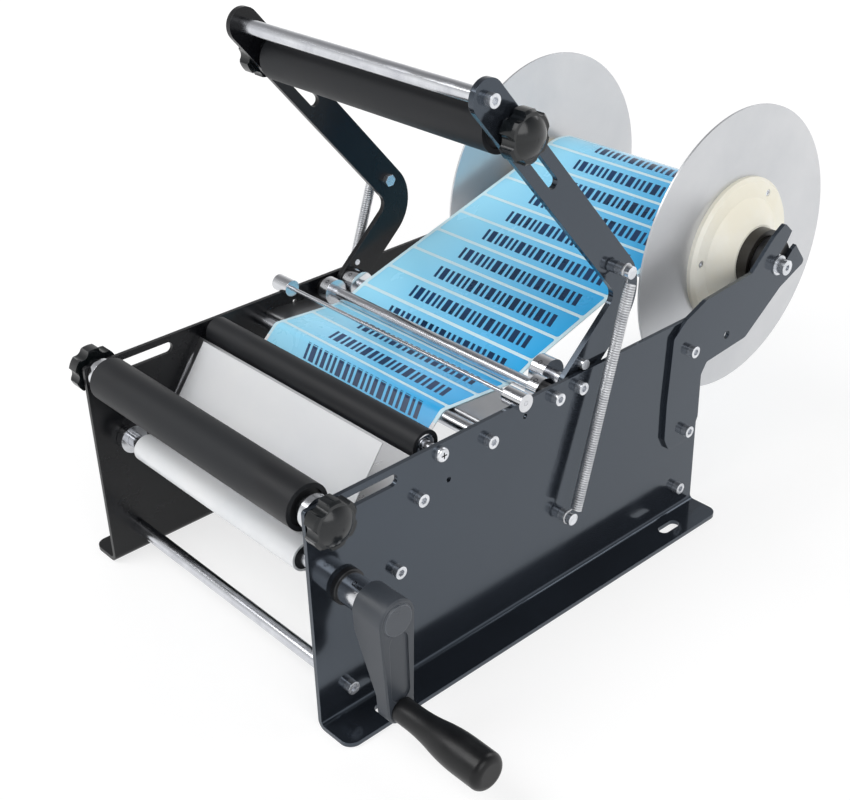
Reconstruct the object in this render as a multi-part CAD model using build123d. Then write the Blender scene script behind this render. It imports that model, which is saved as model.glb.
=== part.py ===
from build123d import *
import math
import os

# Manual bottle labelling machine, in millimetres.
# X runs across the machine and the crank is on +X. Y runs from the front rollers to the reel. Z is up.
# The origin is on the floor, midway between the side plates and at the middle of their length.

# Clearances
SEAT = 0.05                       # radial play of a piece that is fixed on its shaft
RUN = 0.08                        # radial play of a piece that turns or slides on its shaft
AIR = 0.3                         # gap between faces that pass each other
OVERRUN = 2.0                     # how far a cutting tool passes the wall that it cuts

# Folded side plates
PLATE_LENGTH = 350.0
PLATE_HEIGHT = 157.0
PLATE_THICKNESS = 3.0
INNER_WIDTH = 230.0               # clear width between the side plates
FOOT_REACH = 26.0                 # foot flange, measured from the plate's outer face
FOOT_CORNER_RADIUS = 8.0
BEND_RADIUS = 3.0                 # inside of the fold
TOP_CORNER_RADIUS = 2.5
FOOT_SLOT_INSET = 12.5            # slot line from the flange's edge
FOOT_SLOT_SPACING = 268.0
FOOT_SLOT_WIDTH = 8.0
FOOT_SLOT_LENGTH = 19.0
SPARE_HOLE_RADIUS = 1.8
SPARE_FRONT_INSET = 107.6         # an inset is measured back from the plates' front edge
SPARE_FRONT_DROP = 27.7           # a drop is measured down from the plates' top edge
SPARE_REAR_INSET = 173.0
SPARE_REAR_DROP = 10.8

# Cap screws of the frame
SCREW_RADIUS = 2.5
SCREW_HOLE_RADIUS = 2.75
SCREW_HEAD_RADIUS = 4.25
SCREW_HEAD_LENGTH = 5.0
SCREW_GRIP = 12.0                 # length of thread inside the piece that it holds
SOCKET_RADIUS = 2.3               # to the corners of the hexagon
SOCKET_DEPTH = 2.6

# Rods between the plates
TIE_ROD_RADIUS = 5.0
FRONT_TIE_INSET = 22.6
REAR_TIE_OVERLAP = 19.0           # an overlap is measured forward from the plates' rear edge
TIE_Z = 21.2
SUPPORT_ROD_RADIUS = 4.0
UPPER_SUPPORT_INSET = 83.2
UPPER_SUPPORT_DROP = 29.2
LOWER_SUPPORT_INSET = 63.5
LOWER_SUPPORT_DROP = 71.4
PEEL_ROD_RADIUS = 5.0
PEEL_INSET = 141.0
PEEL_DROP = 14.0
GUIDE_BAR_RADIUS = 4.5
GUIDE_INSET = 200.0
GUIDE_DROP = 8.0
GUIDE_COLLAR_RADIUS = 9.5
GUIDE_COLLAR_LENGTH = 8.5
GUIDE_COLLAR_INSET = 6.0          # collar from the plate's inner face
GUIDE_BUSH_RADIUS = 6.5

# Wire that holds the web down, in barrels that straddle the plates' top edges
WIRE_RADIUS = 1.5
WIRE_INSET = 167.0
BARREL_RADIUS = 6.0
BARREL_LENGTH = 16.0
BARREL_SADDLE = 2.5               # how deep the plate's edge sits in the barrel

# Folded table below the web
TABLE_THICKNESS = 1.0
TABLE_FRONT_GAP = 1.5             # table's front edge, from the peel rod
TABLE_REAR_INSET = 191.0
TABLE_LIP = 9.0
TABLE_TAB = 14.0                  # height of the tabs that lie against the plates
TABLE_BEND_RADIUS = 1.5
TABLE_DROP = 0.6                  # table below the web

# Sloping chute and its white facing
CHUTE_THICKNESS = 1.0
CHUTE_TOP_INSET = 90.4
CHUTE_TOP_DROP = 9.8
CHUTE_BOTTOM_DROP = 65.0
CHUTE_SLOPE = 53.3                # degrees from level
CHUTE_TAB_MARGIN = 7.5            # tab's edge round each rod
FACING_THICKNESS = 0.4
FACING_INSET = 1.5
FACING_LEFT_X = -109.0
FACING_RIGHT_X = 80.0

# Front roller, in the slots of the plates
FRONT_ROLLER_RADIUS = 15.0
FRONT_ROLLER_HALF = 104.5
FRONT_AXLE_RADIUS = 4.0
FRONT_SLOT_INSET = 12.0
FRONT_SLOT_TRAVEL = 51.5
FRONT_SLOT_DROP = 8.5
FRONT_COLLAR_RADIUS = 9.0
FRONT_COLLAR_RING = 11.0
ROLLER_TUBE_WALL = 3.0            # steel tube and rubber together
ROLLER_BEARING_LENGTH = 9.0
ROLLER_END_RECESS = 2.0

# Rear roller
REAR_ROLLER_INSET = 101.3
REAR_ROLLER_DROP = 6.5
REAR_ROLLER_RADIUS = 10.0
REAR_ROLLER_LEFT_X = -109.0
REAR_ROLLER_RIGHT_X = 105.0
REAR_AXLE_RADIUS = 4.0
REAR_TUBE_WALL = 2.5
PAN_HEAD_RADIUS = 4.9
PAN_HEAD_LENGTH = 3.6

# Star knobs
KNOB_RADIUS = 16.0
KNOB_LENGTH = 10.0
KNOB_LOBES = 6
KNOB_FLUTE_RADIUS = 5.0
KNOB_FLUTE_DEPTH = 3.0
KNOB_DOME_RADIUS = 12.4
KNOB_DOME_RISE = 5.0
KNOB_BOSS_RADIUS = 8.0
KNOB_BOSS_LENGTH = 3.0
KNOB_EDGE = 1.5

# Drive roller and crank
DRIVE_INSET = 25.0
DRIVE_DROP = 62.0
DRIVE_SHAFT_RADIUS = 5.0
DRIVE_SLEEVE_RADIUS = 8.0
WOUND_RADIUS = 9.5
BUSH_RADIUS = 8.0
BUSH_FLANGE_RADIUS = 11.5
BUSH_FLANGE_LENGTH = 3.5
SHAFT_COLLAR_RADIUS = 10.0
SHAFT_COLLAR_LENGTH = 18.0
INNER_COLLAR_LENGTH = 6.5
GRIP_Z = 30.0                     # grip's axis at the crank's lowest turn
CRANK_HUB_RADIUS = 13.0
CRANK_HUB_LENGTH = 24.0
CRANK_END_RADIUS = 10.0
CRANK_END_THICKNESS = 10.0
CRANK_CAP_RADIUS = 10.6
CRANK_CAP_RISE = 0.8
CRANK_CAP_DEPTH = 3.0
CHANNEL_DEPTH = 1.2
CHANNEL_RIM = 3.0
CRANK_EDGE = 1.0
GRIP_PIN_RADIUS = 4.0
GRIP_PIN_LENGTH = 60.0
GRIP_PIN_HEAD_RADIUS = 6.0
GRIP_PIN_HEAD_LENGTH = 3.0
GRIP_LENGTH = 73.0
GRIP_NECK_RADIUS = 8.0
GRIP_NECK_LENGTH = 9.0
GRIP_SWELL_RADIUS = 12.0
GRIP_SWELL_SHARE = 0.72           # place of the widest turn along the grip
GRIP_END_FILLET = 5.0

# Press arm
PIVOT_INSET = 221.8
PIVOT_DROP = 8.9
PIVOT_SHAFT_RADIUS = 4.0
STRAP_THICKNESS = 4.0
STRAP_WIDTH = 23.5
STRAP_GAP = 1.5                   # strap's outer face from the plate's inner face
ELBOW_BACK = 26.7                 # centre of the elbow's bend, from the pivot
ELBOW_RISE = 51.2
ELBOW_RADIUS = 20.5
ARM_REACH = 74.8                  # top rod, forward of the pivot
ARM_RISE = 205.2
PIVOT_COLLAR_RADIUS = 10.5
PIVOT_COLLAR_LENGTH = 12.0
PIVOT_COLLAR_GAP = 3.1            # right collar, from the web's edge
PIVOT_WASHER_RADIUS = 8.0
TOP_ROD_RADIUS = 5.0
PRESS_SLOT_START = 23.0           # from the top rod's axis to the slot's near end
PRESS_SLOT_END = 81.0
PRESS_SLOT_WIDTH = 8.0
PRESS_ROLLER_AT = 30.8            # roller's place in the slot as it stands
PRESS_ROLLER_RADIUS = 15.0
PRESS_ROLLER_HALF = 103.0
PRESS_AXLE_RADIUS = 3.9
PRESS_COLLAR_RADIUS = 7.5
STOP_HEAD_RADIUS = 3.5            # stop screw, whose head lies on the plate's top edge
STOP_HEAD_LENGTH = 4.0
STOP_SHANK_RADIUS = 2.25
STOP_SWING = 58.0                 # swing, in degrees, from one rest on the stop to the other

# Extension springs
SPRING_TOP_BACK = 39.2            # upper bolt, from the pivot
SPRING_TOP_RISE = 68.9
SPRING_FOOT_FORWARD = 13.3        # lower bolt, from the pivot
SPRING_FOOT_DROP = 100.5
SPRING_RADIUS = 4.0
SPRING_TOP_STAND = 7.3            # spring's line, from the strap's outer face
SPRING_FOOT_STAND = 6.3           # spring's line, from the plate's outer face
SPRING_WIRE_RADIUS = 0.8
SPRING_EYE_RADIUS = 3.6
SPRING_BOLT_RADIUS = 2.5
SPRING_HEAD_LENGTH = 3.5

# Reel
REEL_REACH = 79.5                 # behind the plates' rear edge
REEL_RISE = 9.6                   # above the plates' top edge
REEL_SHAFT_RADIUS = 8.0
REEL_END_RADIUS = 5.8
DISC_RADIUS = 107.3
DISC_THICKNESS = 1.5
DISC_RIGHT_X = 81.0               # inner faces of the discs
DISC_LEFT_X = -107.4
HUB_RADIUS = 55.5
HUB_THICKNESS = 5.5
HUB_BEVEL = 2.5
HUB_CONE_RADIUS = 41.0
HUB_NECK_RADIUS = 24.0
HUB_CONE_HEIGHT = 12.4
HUB_SCREW_RADIUS = 2.6
HUB_SCREW_DEPTH = 2.0
HUB_SCREW_CIRCLE = 47.0
HUB_SCREW_COUNT = 3
HUB_SCREW_TURN = 54.0             # first screw, in degrees above level
HUB_SLEEVE_RADIUS = 22.5
HUB_SLEEVE_LENGTH = 8.6
LEFT_HUB_GAP = 1.4                # left hub's face from its bracket
CORE_RADIUS = 38.0
CORE_WALL = 3.0
CARRIER_LENGTH = 18.0
ROLL_RADIUS = 43.5
STOP_COLLAR_RADIUS = 18.0
STOP_COLLAR_LENGTH = 8.5
END_WASHER_RADIUS = 7.4
END_WASHER_THICKNESS = 1.2
END_HEAD_RADIUS = 5.6
END_HEAD_LENGTH = 6.5

# Slotted reel brackets
BRACKET_THICKNESS = 3.0
BRACKET_OVERLAP = 39.0
BRACKET_DROP = 97.0
BRACKET_CORNER_RADIUS = 3.0
BRACKET_SCREW_OVERLAP = 17.1
BRACKET_SCREW_LOW_DROP = 87.0
BRACKET_SCREW_HIGH_DROP = 23.2
BRACKET_SLOT_WIDTH = 12.0
BRACKET_SLOT_ANGLE = 43.0
BRACKET_SLOT_LENGTH = 40.0
BRACKET_MOUTH_WIDTH = 17.0
BRACKET_MOUTH_AT = 17.0
BRACKET_HOLE_RADIUS = 3.0
BRACKET_HOLE_REACH = 24.0
BRACKET_HOLE_DROP = 26.4
NUT_RADIUS = 4.6
NUT_LENGTH = 4.0

# Bracket outline: shares of the run from its front to the shaft and of the rise from its foot to the shaft
BRACKET_SHARES = [
    (0.045, 0.0), (0.245, 0.0), (0.308, 0.14), (0.308, 0.458), (0.354, 0.535), (0.723, 0.568),
    (1.043, 0.82), (1.282, 0.928), (1.176, 1.078), (1.105, 1.214), (1.033, 1.288), (0.936, 1.228),
    (0.737, 1.034), (0.303, 1.0), (0.138, 0.928), (0.028, 0.831), (0.0, 0.358), (0.0, 0.097),
]

# Label web
WEB_LEFT_X = -93.5
WEB_RIGHT_X = 80.4
WEB_THICKNESS = 0.5
WEB_LIFT = 0.1                    # web off the rods that it lies on
LABEL_LENGTH = 22.8               # along the web
LABEL_GAP = 2.7
LABEL_MARGIN = 3.0                # bare liner beside the labels
LABEL_THICKNESS = 0.3

# Places worked out from the sizes above
FRONT_EDGE = -PLATE_LENGTH / 2
REAR_EDGE = PLATE_LENGTH / 2
SPARE_FRONT_Y = FRONT_EDGE + SPARE_FRONT_INSET
SPARE_FRONT_Z = PLATE_HEIGHT - SPARE_FRONT_DROP
SPARE_REAR_Y = FRONT_EDGE + SPARE_REAR_INSET
SPARE_REAR_Z = PLATE_HEIGHT - SPARE_REAR_DROP
FRONT_TIE_Y = FRONT_EDGE + FRONT_TIE_INSET
REAR_TIE_Y = REAR_EDGE - REAR_TIE_OVERLAP
UPPER_SUPPORT_Y = FRONT_EDGE + UPPER_SUPPORT_INSET
UPPER_SUPPORT_Z = PLATE_HEIGHT - UPPER_SUPPORT_DROP
LOWER_SUPPORT_Y = FRONT_EDGE + LOWER_SUPPORT_INSET
LOWER_SUPPORT_Z = PLATE_HEIGHT - LOWER_SUPPORT_DROP
PEEL_Y = FRONT_EDGE + PEEL_INSET
PEEL_Z = PLATE_HEIGHT - PEEL_DROP
GUIDE_Y = FRONT_EDGE + GUIDE_INSET
GUIDE_Z = PLATE_HEIGHT - GUIDE_DROP
WIRE_Y = FRONT_EDGE + WIRE_INSET
TABLE_REAR_Y = FRONT_EDGE + TABLE_REAR_INSET
CHUTE_TOP_Y = FRONT_EDGE + CHUTE_TOP_INSET
CHUTE_TOP_Z = PLATE_HEIGHT - CHUTE_TOP_DROP
FRONT_SLOT_START_Y = FRONT_EDGE + FRONT_SLOT_INSET
FRONT_SLOT_END_Y = FRONT_SLOT_START_Y + FRONT_SLOT_TRAVEL
FRONT_SLOT_Z = PLATE_HEIGHT - FRONT_SLOT_DROP
REAR_ROLLER_Y = FRONT_EDGE + REAR_ROLLER_INSET
REAR_ROLLER_Z = PLATE_HEIGHT - REAR_ROLLER_DROP
DRIVE_Y = FRONT_EDGE + DRIVE_INSET
DRIVE_Z = PLATE_HEIGHT - DRIVE_DROP
PIVOT_Y = FRONT_EDGE + PIVOT_INSET
PIVOT_Z = PLATE_HEIGHT - PIVOT_DROP
ELBOW_Y = PIVOT_Y + ELBOW_BACK
ELBOW_Z = PIVOT_Z + ELBOW_RISE
ARM_END_Y = PIVOT_Y - ARM_REACH
ARM_END_Z = PIVOT_Z + ARM_RISE
SPRING_TOP_Y = PIVOT_Y + SPRING_TOP_BACK
SPRING_TOP_Z = PIVOT_Z + SPRING_TOP_RISE
SPRING_FOOT_Y = PIVOT_Y - SPRING_FOOT_FORWARD
SPRING_FOOT_Z = PLATE_HEIGHT - SPRING_FOOT_DROP
REEL_Y = REAR_EDGE + REEL_REACH
REEL_Z = PLATE_HEIGHT + REEL_RISE
BRACKET_FRONT_Y = REAR_EDGE - BRACKET_OVERLAP
BRACKET_BOTTOM_Z = PLATE_HEIGHT - BRACKET_DROP
BRACKET_SCREW_Y = REAR_EDGE - BRACKET_SCREW_OVERLAP
BRACKET_SCREW_LOW_Z = PLATE_HEIGHT - BRACKET_SCREW_LOW_DROP
BRACKET_SCREW_HIGH_Z = PLATE_HEIGHT - BRACKET_SCREW_HIGH_DROP
BRACKET_HOLE_Y = REAR_EDGE + BRACKET_HOLE_REACH
BRACKET_HOLE_Z = PLATE_HEIGHT - BRACKET_HOLE_DROP
INNER_X = INNER_WIDTH / 2
OUTER_X = INNER_X + PLATE_THICKNESS
FOOT_X = OUTER_X + FOOT_REACH
FOOT_SLOT_X = FOOT_X - FOOT_SLOT_INSET
STRAP_OUTER_X = INNER_X - STRAP_GAP
STRAP_INNER_X = STRAP_OUTER_X - STRAP_THICKNESS
BRACKET_X = OUTER_X + BRACKET_THICKNESS
KNOB_X = OUTER_X + AIR
CRANK_FACE_X = OUTER_X + BUSH_FLANGE_LENGTH + AIR + SHAFT_COLLAR_LENGTH + CRANK_HUB_LENGTH
CRANK_BACK_X = CRANK_FACE_X - CRANK_HUB_LENGTH
SPRING_TOP_X = STRAP_OUTER_X + SPRING_TOP_STAND
SPRING_FOOT_X = OUTER_X + SPRING_FOOT_STAND
STOP_Z = PLATE_HEIGHT + STOP_HEAD_RADIUS + AIR
STOP_Y = PIVOT_Y + (STOP_Z - PIVOT_Z) * math.tan(math.radians(STOP_SWING / 2))
WIRE_Z = PLATE_HEIGHT - BARREL_SADDLE + BARREL_RADIUS
BARREL_X = (INNER_X + OUTER_X) / 2
SLOPE = math.radians(CHUTE_SLOPE)
CHUTE_LENGTH = (CHUTE_BOTTOM_DROP - CHUTE_TOP_DROP) / math.sin(SLOPE)
HUB_FACE_X = DISC_RIGHT_X + DISC_THICKNESS + HUB_THICKNESS
SLEEVE_START_X = HUB_FACE_X + HUB_CONE_HEIGHT
LEFT_HUB_X = -DISC_LEFT_X + DISC_THICKNESS
LEFT_HUB_THICKNESS = OUTER_X - LEFT_HUB_GAP - LEFT_HUB_X

FRAME_SCREWS = [
    (FRONT_TIE_Y, TIE_Z),
    (LOWER_SUPPORT_Y, LOWER_SUPPORT_Z),
    (UPPER_SUPPORT_Y, UPPER_SUPPORT_Z),
    (PEEL_Y, PEEL_Z),
    (GUIDE_Y, GUIDE_Z),
    (PIVOT_Y, PIVOT_Z),
    (REAR_TIE_Y, TIE_Z),
]


def disc_face(y, z, radius):
    """Round face in the Y and Z plane"""
    return Pos(y, z) * Circle(radius)


def slab(face, x_start, x_end):
    """Face drawn in Y and Z, made into a solid between two places along X"""
    return extrude(Plane.YZ.offset(x_start) * face, x_end - x_start)


def bar(y, z, radius, x_start, x_end):
    """Round bar along X"""
    return slab(disc_face(y, z, radius), x_start, x_end)


def tube(y, z, radius, bore, x_start, x_end):
    """Round tube along X"""
    return slab(disc_face(y, z, radius) - disc_face(y, z, bore), x_start, x_end)


def turned(points, y, z):
    """Solid of revolution about a line along X, from a profile in X and radius"""
    plane = Plane((0, y, z), x_dir=(1, 0, 0), z_dir=(0, -1, 0))
    profile = plane * make_face(Polyline(*points, close=True))
    return revolve(profile, Axis((0, y, z), (1, 0, 0)))


def mirrored(shape):
    """The same piece on the left side"""
    return mirror(shape, about=Plane.YZ)


def both_sides(shape):
    """A piece and its twin on the left side"""
    return [shape, mirrored(shape)]


def moved_along(start, heading, distance):
    """Point at a distance from another, along a unit heading in Y and Z"""
    return (start[0] + heading[0] * distance, start[1] + heading[1] * distance)


def belt_lines(rounds, shift):
    """Lines and arcs that run tangent round a list of circles, moved sideways by shift

    Each circle is (y, z, signed radius): plus where it lies left of the way that the belt goes.
    """
    legs = []
    for (y0, z0, r0), (y1, z1, r1) in zip(rounds, rounds[1:]):
        span = math.hypot(y1 - y0, z1 - z0)
        lean = math.asin((r1 - r0) / span)
        angle = math.atan2(z1 - z0, y1 - y0) - lean
        left = (-math.sin(angle), math.cos(angle))
        start = moved_along((y0, z0), left, shift - r0)
        end = moved_along((y1, z1), left, shift - r1)
        legs.append((angle, start, end))
    edges = []
    for index, (angle, start, end) in enumerate(legs):
        if index:
            last_angle, _, last_end = legs[index - 1]
            y0, z0, r0 = rounds[index]
            turn = (angle - last_angle + math.pi) % (2 * math.pi) - math.pi
            middle_angle = last_angle + turn / 2
            left = (-math.sin(middle_angle), math.cos(middle_angle))
            middle = moved_along((y0, z0), left, shift - r0)
            edges.append(ThreePointArc(last_end, middle, start))
        edges.append(Line(start, end))
    return edges


def belt_face(rounds, width):
    """Strip of one width along a belt's path"""
    left = belt_lines(rounds, width / 2)
    right = belt_lines(rounds, -width / 2)
    first_cap = Line(left[0] @ 0, right[0] @ 0)
    last_cap = Line(left[-1] @ 1, right[-1] @ 1)
    return make_face([*left, *right, first_cap, last_cap])


# Frame

def slot_face(start, end, width):
    """Round-ended slot between two centres in Y and Z"""
    length = math.dist(start, end)
    angle = math.degrees(math.atan2(end[1] - start[1], end[0] - start[0]))
    middle = ((start[0] + end[0]) / 2, (start[1] + end[1]) / 2)
    return Pos(*middle) * SlotCenterToCenter(length, width, rotation=angle)


def side_plate_right():
    """Folded plate with its foot flange, slots and holes"""
    section = make_face(Polyline(
        (INNER_X, 0), (FOOT_X, 0), (FOOT_X, PLATE_THICKNESS), (OUTER_X, PLATE_THICKNESS),
        (OUTER_X, PLATE_HEIGHT), (INNER_X, PLATE_HEIGHT), close=True))
    outer_corner = section.vertices().sort_by_distance((INNER_X, 0))[0]
    section = fillet(outer_corner, BEND_RADIUS + PLATE_THICKNESS - SEAT)
    inner_corner = section.vertices().sort_by_distance((OUTER_X, PLATE_THICKNESS))[0]
    section = fillet(inner_corner, BEND_RADIUS)
    rear = Plane((0, PLATE_LENGTH / 2, 0), x_dir=(1, 0, 0), z_dir=(0, -1, 0))
    plate = extrude(rear * section, PLATE_LENGTH)
    plate = fillet(plate.edges().filter_by(Axis.Z).group_by(Axis.X)[-1], FOOT_CORNER_RADIUS)
    plate = fillet(plate.edges().filter_by(Axis.X).group_by(Axis.Z)[-1], TOP_CORNER_RADIUS)
    holes = [disc_face(y, z, SCREW_HOLE_RADIUS) for y, z in FRAME_SCREWS]
    holes.append(disc_face(REAR_ROLLER_Y, REAR_ROLLER_Z, SCREW_HOLE_RADIUS))
    holes.append(disc_face(SPRING_FOOT_Y, SPRING_FOOT_Z, SCREW_HOLE_RADIUS))
    holes.append(disc_face(BRACKET_SCREW_Y, BRACKET_SCREW_LOW_Z, SCREW_HOLE_RADIUS))
    holes.append(disc_face(BRACKET_SCREW_Y, BRACKET_SCREW_HIGH_Z, SCREW_HOLE_RADIUS))
    holes.append(disc_face(SPARE_FRONT_Y, SPARE_FRONT_Z, SPARE_HOLE_RADIUS))
    holes.append(disc_face(SPARE_REAR_Y, SPARE_REAR_Z, SPARE_HOLE_RADIUS))
    holes.append(disc_face(DRIVE_Y, DRIVE_Z, BUSH_RADIUS + SEAT))
    front = (FRONT_SLOT_START_Y, FRONT_SLOT_Z)
    back = (FRONT_SLOT_END_Y, FRONT_SLOT_Z)
    holes.append(slot_face(front, back, 2 * (FRONT_AXLE_RADIUS + RUN)))
    for hole in holes:
        plate -= slab(hole, INNER_X - OVERRUN, OUTER_X + OVERRUN)
    foot_slot = SlotOverall(FOOT_SLOT_LENGTH, FOOT_SLOT_WIDTH, rotation=90)
    for side in (-1, 1):
        place = Pos(FOOT_SLOT_X, side * FOOT_SLOT_SPACING / 2, -OVERRUN)
        plate -= extrude(place * foot_slot, PLATE_THICKNESS + 2 * OVERRUN)
    return plate


def tie_rod(y, z, radius):
    """Rod between the plates, drilled at both ends for its screws"""
    rod = bar(y, z, radius, -INNER_X, INNER_X)
    start = INNER_X - SCREW_GRIP - SEAT
    for drill in both_sides(bar(y, z, SCREW_RADIUS + SEAT, start, INNER_X + OVERRUN)):
        rod -= drill
    return rod


def cap_screw(y, z, seat_x, length, head_radius=SCREW_HEAD_RADIUS, head_length=SCREW_HEAD_LENGTH):
    """Socket cap screw whose head lies on a face at seat_x, pointing to the middle"""
    face_x = seat_x + head_length
    head = bar(y, z, head_radius, seat_x, face_x)
    shank = bar(y, z, SCREW_RADIUS, seat_x - length, seat_x)
    socket_face = Pos(y, z) * RegularPolygon(SOCKET_RADIUS, 6)
    return head + shank - slab(socket_face, face_x - SOCKET_DEPTH, face_x + OVERRUN)


def frame_screws():
    """Screws that hold the rods to both plates, with pan heads on the rear roller's axle"""
    screws = rear_roller_screws()
    for y, z in FRAME_SCREWS:
        screws += both_sides(cap_screw(y, z, OUTER_X, PLATE_THICKNESS + SCREW_GRIP))
    return screws


def rear_roller_screws():
    """Pan-head screws that hold the rear roller's axle"""
    y, z = REAR_ROLLER_Y, REAR_ROLLER_Z
    head = bar(y, z, PAN_HEAD_RADIUS, OUTER_X, OUTER_X + PAN_HEAD_LENGTH)
    rim = head.edges().filter_by(GeomType.CIRCLE).sort_by(Axis.X)[-1]
    head = fillet(rim, PAN_HEAD_LENGTH / 2)
    shank = bar(y, z, SCREW_RADIUS, INNER_X - SCREW_GRIP, OUTER_X)
    return both_sides(head + shank)


def guide_bar_collars():
    """Stop collars on the guide bar"""
    end = INNER_X - GUIDE_COLLAR_INSET
    bore = GUIDE_BAR_RADIUS + SEAT
    return both_sides(tube(GUIDE_Y, GUIDE_Z, GUIDE_COLLAR_RADIUS, bore, end - GUIDE_COLLAR_LENGTH, end))


def guide_bar_bushes():
    """Black bushes that space the stop collars from the plates"""
    start = INNER_X - GUIDE_COLLAR_INSET
    bush = tube(GUIDE_Y, GUIDE_Z, GUIDE_BUSH_RADIUS, GUIDE_BAR_RADIUS + SEAT, start, INNER_X)
    return both_sides(bush)


def hold_down_wire():
    """Wire across the web, from barrel to barrel"""
    end = BARREL_X + BARREL_LENGTH / 2
    return bar(WIRE_Y, WIRE_Z, WIRE_RADIUS, -end, end)


def wire_barrels():
    """Barrels that hold the wire, slotted below to straddle the plates' top edges"""
    start = BARREL_X - BARREL_LENGTH / 2
    barrel = tube(WIRE_Y, WIRE_Z, BARREL_RADIUS, WIRE_RADIUS + SEAT, start, start + BARREL_LENGTH)
    half = PLATE_THICKNESS / 2 + SEAT
    width = BARREL_RADIUS + OVERRUN
    slot = make_face(Polyline(
        (WIRE_Y - width, PLATE_HEIGHT), (WIRE_Y + width, PLATE_HEIGHT),
        (WIRE_Y + width, PLATE_HEIGHT - width), (WIRE_Y - width, PLATE_HEIGHT - width), close=True))
    return both_sides(barrel - slab(slot, BARREL_X - half, BARREL_X + half))


def web_rounds():
    """Circles that the web's middle line goes round, from the reel to the drive roller"""
    off = WEB_LIFT + WEB_THICKNESS / 2
    air = AIR + WEB_THICKNESS / 2
    return [
        (REEL_Y, REEL_Z, ROLL_RADIUS + air),
        (PIVOT_Y, PIVOT_Z, PIVOT_SHAFT_RADIUS + off),
        (GUIDE_Y, GUIDE_Z, -GUIDE_BAR_RADIUS - off),
        (PEEL_Y, PEEL_Z, PEEL_ROD_RADIUS + off),
        (LOWER_SUPPORT_Y, LOWER_SUPPORT_Z, -SUPPORT_ROD_RADIUS - off),
        (DRIVE_Y, DRIVE_Z, -WOUND_RADIUS - air),
    ]


def label_web():
    """Liner from the reel over the rods to the drive roller"""
    return slab(belt_face(web_rounds(), WEB_THICKNESS), WEB_LEFT_X, WEB_RIGHT_X)


def web_labels():
    """Labels in rows on the flat runs of the web"""
    labels = []
    surface = belt_lines(web_rounds(), -WEB_THICKNESS / 2)
    left = WEB_LEFT_X + LABEL_MARGIN
    right = WEB_RIGHT_X - LABEL_MARGIN
    for run in (surface[0], surface[4]):
        count = int((run.length - LABEL_GAP) / (LABEL_LENGTH + LABEL_GAP))
        heading = (run % 0).X, (run % 0).Y
        upward = (heading[1], -heading[0])
        for index in range(count):
            start = LABEL_GAP + index * (LABEL_LENGTH + LABEL_GAP)
            near = moved_along(((run @ 0).X, (run @ 0).Y), heading, start)
            far = moved_along(near, heading, LABEL_LENGTH)
            corners = [near, far, moved_along(far, upward, LABEL_THICKNESS),
                       moved_along(near, upward, LABEL_THICKNESS)]
            labels.append(slab(make_face(Polyline(*corners, close=True)), left, right))
    return labels


def table_plate():
    """Folded steel table just below the web, with tabs against the plates"""
    run = belt_lines(web_rounds(), WEB_THICKNESS / 2 + TABLE_DROP)[4]
    rear_share = ((run @ 0).X - TABLE_REAR_Y) / ((run @ 0).X - (run @ 1).X)
    front_y = PEEL_Y + PEEL_ROD_RADIUS + TABLE_FRONT_GAP
    front_share = ((run @ 0).X - front_y) / ((run @ 0).X - (run @ 1).X)
    rear = ((run @ rear_share).X, (run @ rear_share).Y)
    front = ((run @ front_share).X, (run @ front_share).Y)
    path = FilletPolyline(
        (rear[0], rear[1] - TABLE_LIP), rear, front, (front[0], front[1] - TABLE_LIP),
        radius=TABLE_BEND_RADIUS)
    sheet_face = make_face(offset(path, TABLE_THICKNESS / 2, side=Side.BOTH, kind=Kind.INTERSECTION))
    table = slab(sheet_face, -INNER_X, INNER_X)
    low = front[1] - TABLE_TAB
    tab_face = make_face(Polyline(
        (front[0] + TABLE_BEND_RADIUS, low), (rear[0] - TABLE_BEND_RADIUS, low),
        (rear[0] - TABLE_BEND_RADIUS, rear[1]), (front[0] + TABLE_BEND_RADIUS, front[1]), close=True))
    for tab in both_sides(slab(tab_face, INNER_X - TABLE_THICKNESS, INNER_X)):
        table += tab
    return table


def on_chute(down, behind):
    """Point in Y and Z, given down the chute from its top edge and behind its middle"""
    y = CHUTE_TOP_Y - down * math.cos(SLOPE) + behind * math.sin(SLOPE)
    z = CHUTE_TOP_Z - down * math.sin(SLOPE) - behind * math.cos(SLOPE)
    return (y, z)


def chute_strip(down_start, down_end, behind_start, behind_end):
    """Slice of the chute's section"""
    corners = [on_chute(down_start, behind_start), on_chute(down_end, behind_start),
               on_chute(down_end, behind_end), on_chute(down_start, behind_end)]
    return make_face(Polyline(*corners, close=True))


def chute_plate():
    """Sloping sheet with two side tabs that hang on the support rods"""
    half = CHUTE_THICKNESS / 2
    sheet = slab(chute_strip(0, CHUTE_LENGTH, -half, half), -INNER_X, INNER_X)
    low = disc_face(LOWER_SUPPORT_Y, LOWER_SUPPORT_Z, CHUTE_TAB_MARGIN)
    high = disc_face(UPPER_SUPPORT_Y, UPPER_SUPPORT_Z, CHUTE_TAB_MARGIN)
    edge = chute_strip(CHUTE_TAB_MARGIN, CHUTE_LENGTH, 0, half)
    tab_face = make_hull([*low.edges(), *high.edges(), *edge.edges()])
    for y, z in ((LOWER_SUPPORT_Y, LOWER_SUPPORT_Z), (UPPER_SUPPORT_Y, UPPER_SUPPORT_Z)):
        tab_face -= disc_face(y, z, SUPPORT_ROD_RADIUS + SEAT)
    for tab in both_sides(slab(tab_face, INNER_X - CHUTE_THICKNESS, INNER_X)):
        sheet += tab
    return sheet


def chute_facing():
    """White sheet on the front of the chute"""
    near = -CHUTE_THICKNESS / 2
    face = chute_strip(FACING_INSET, CHUTE_LENGTH - FACING_INSET, near - FACING_THICKNESS, near)
    return slab(face, FACING_LEFT_X, FACING_RIGHT_X)


# Rollers

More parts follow.
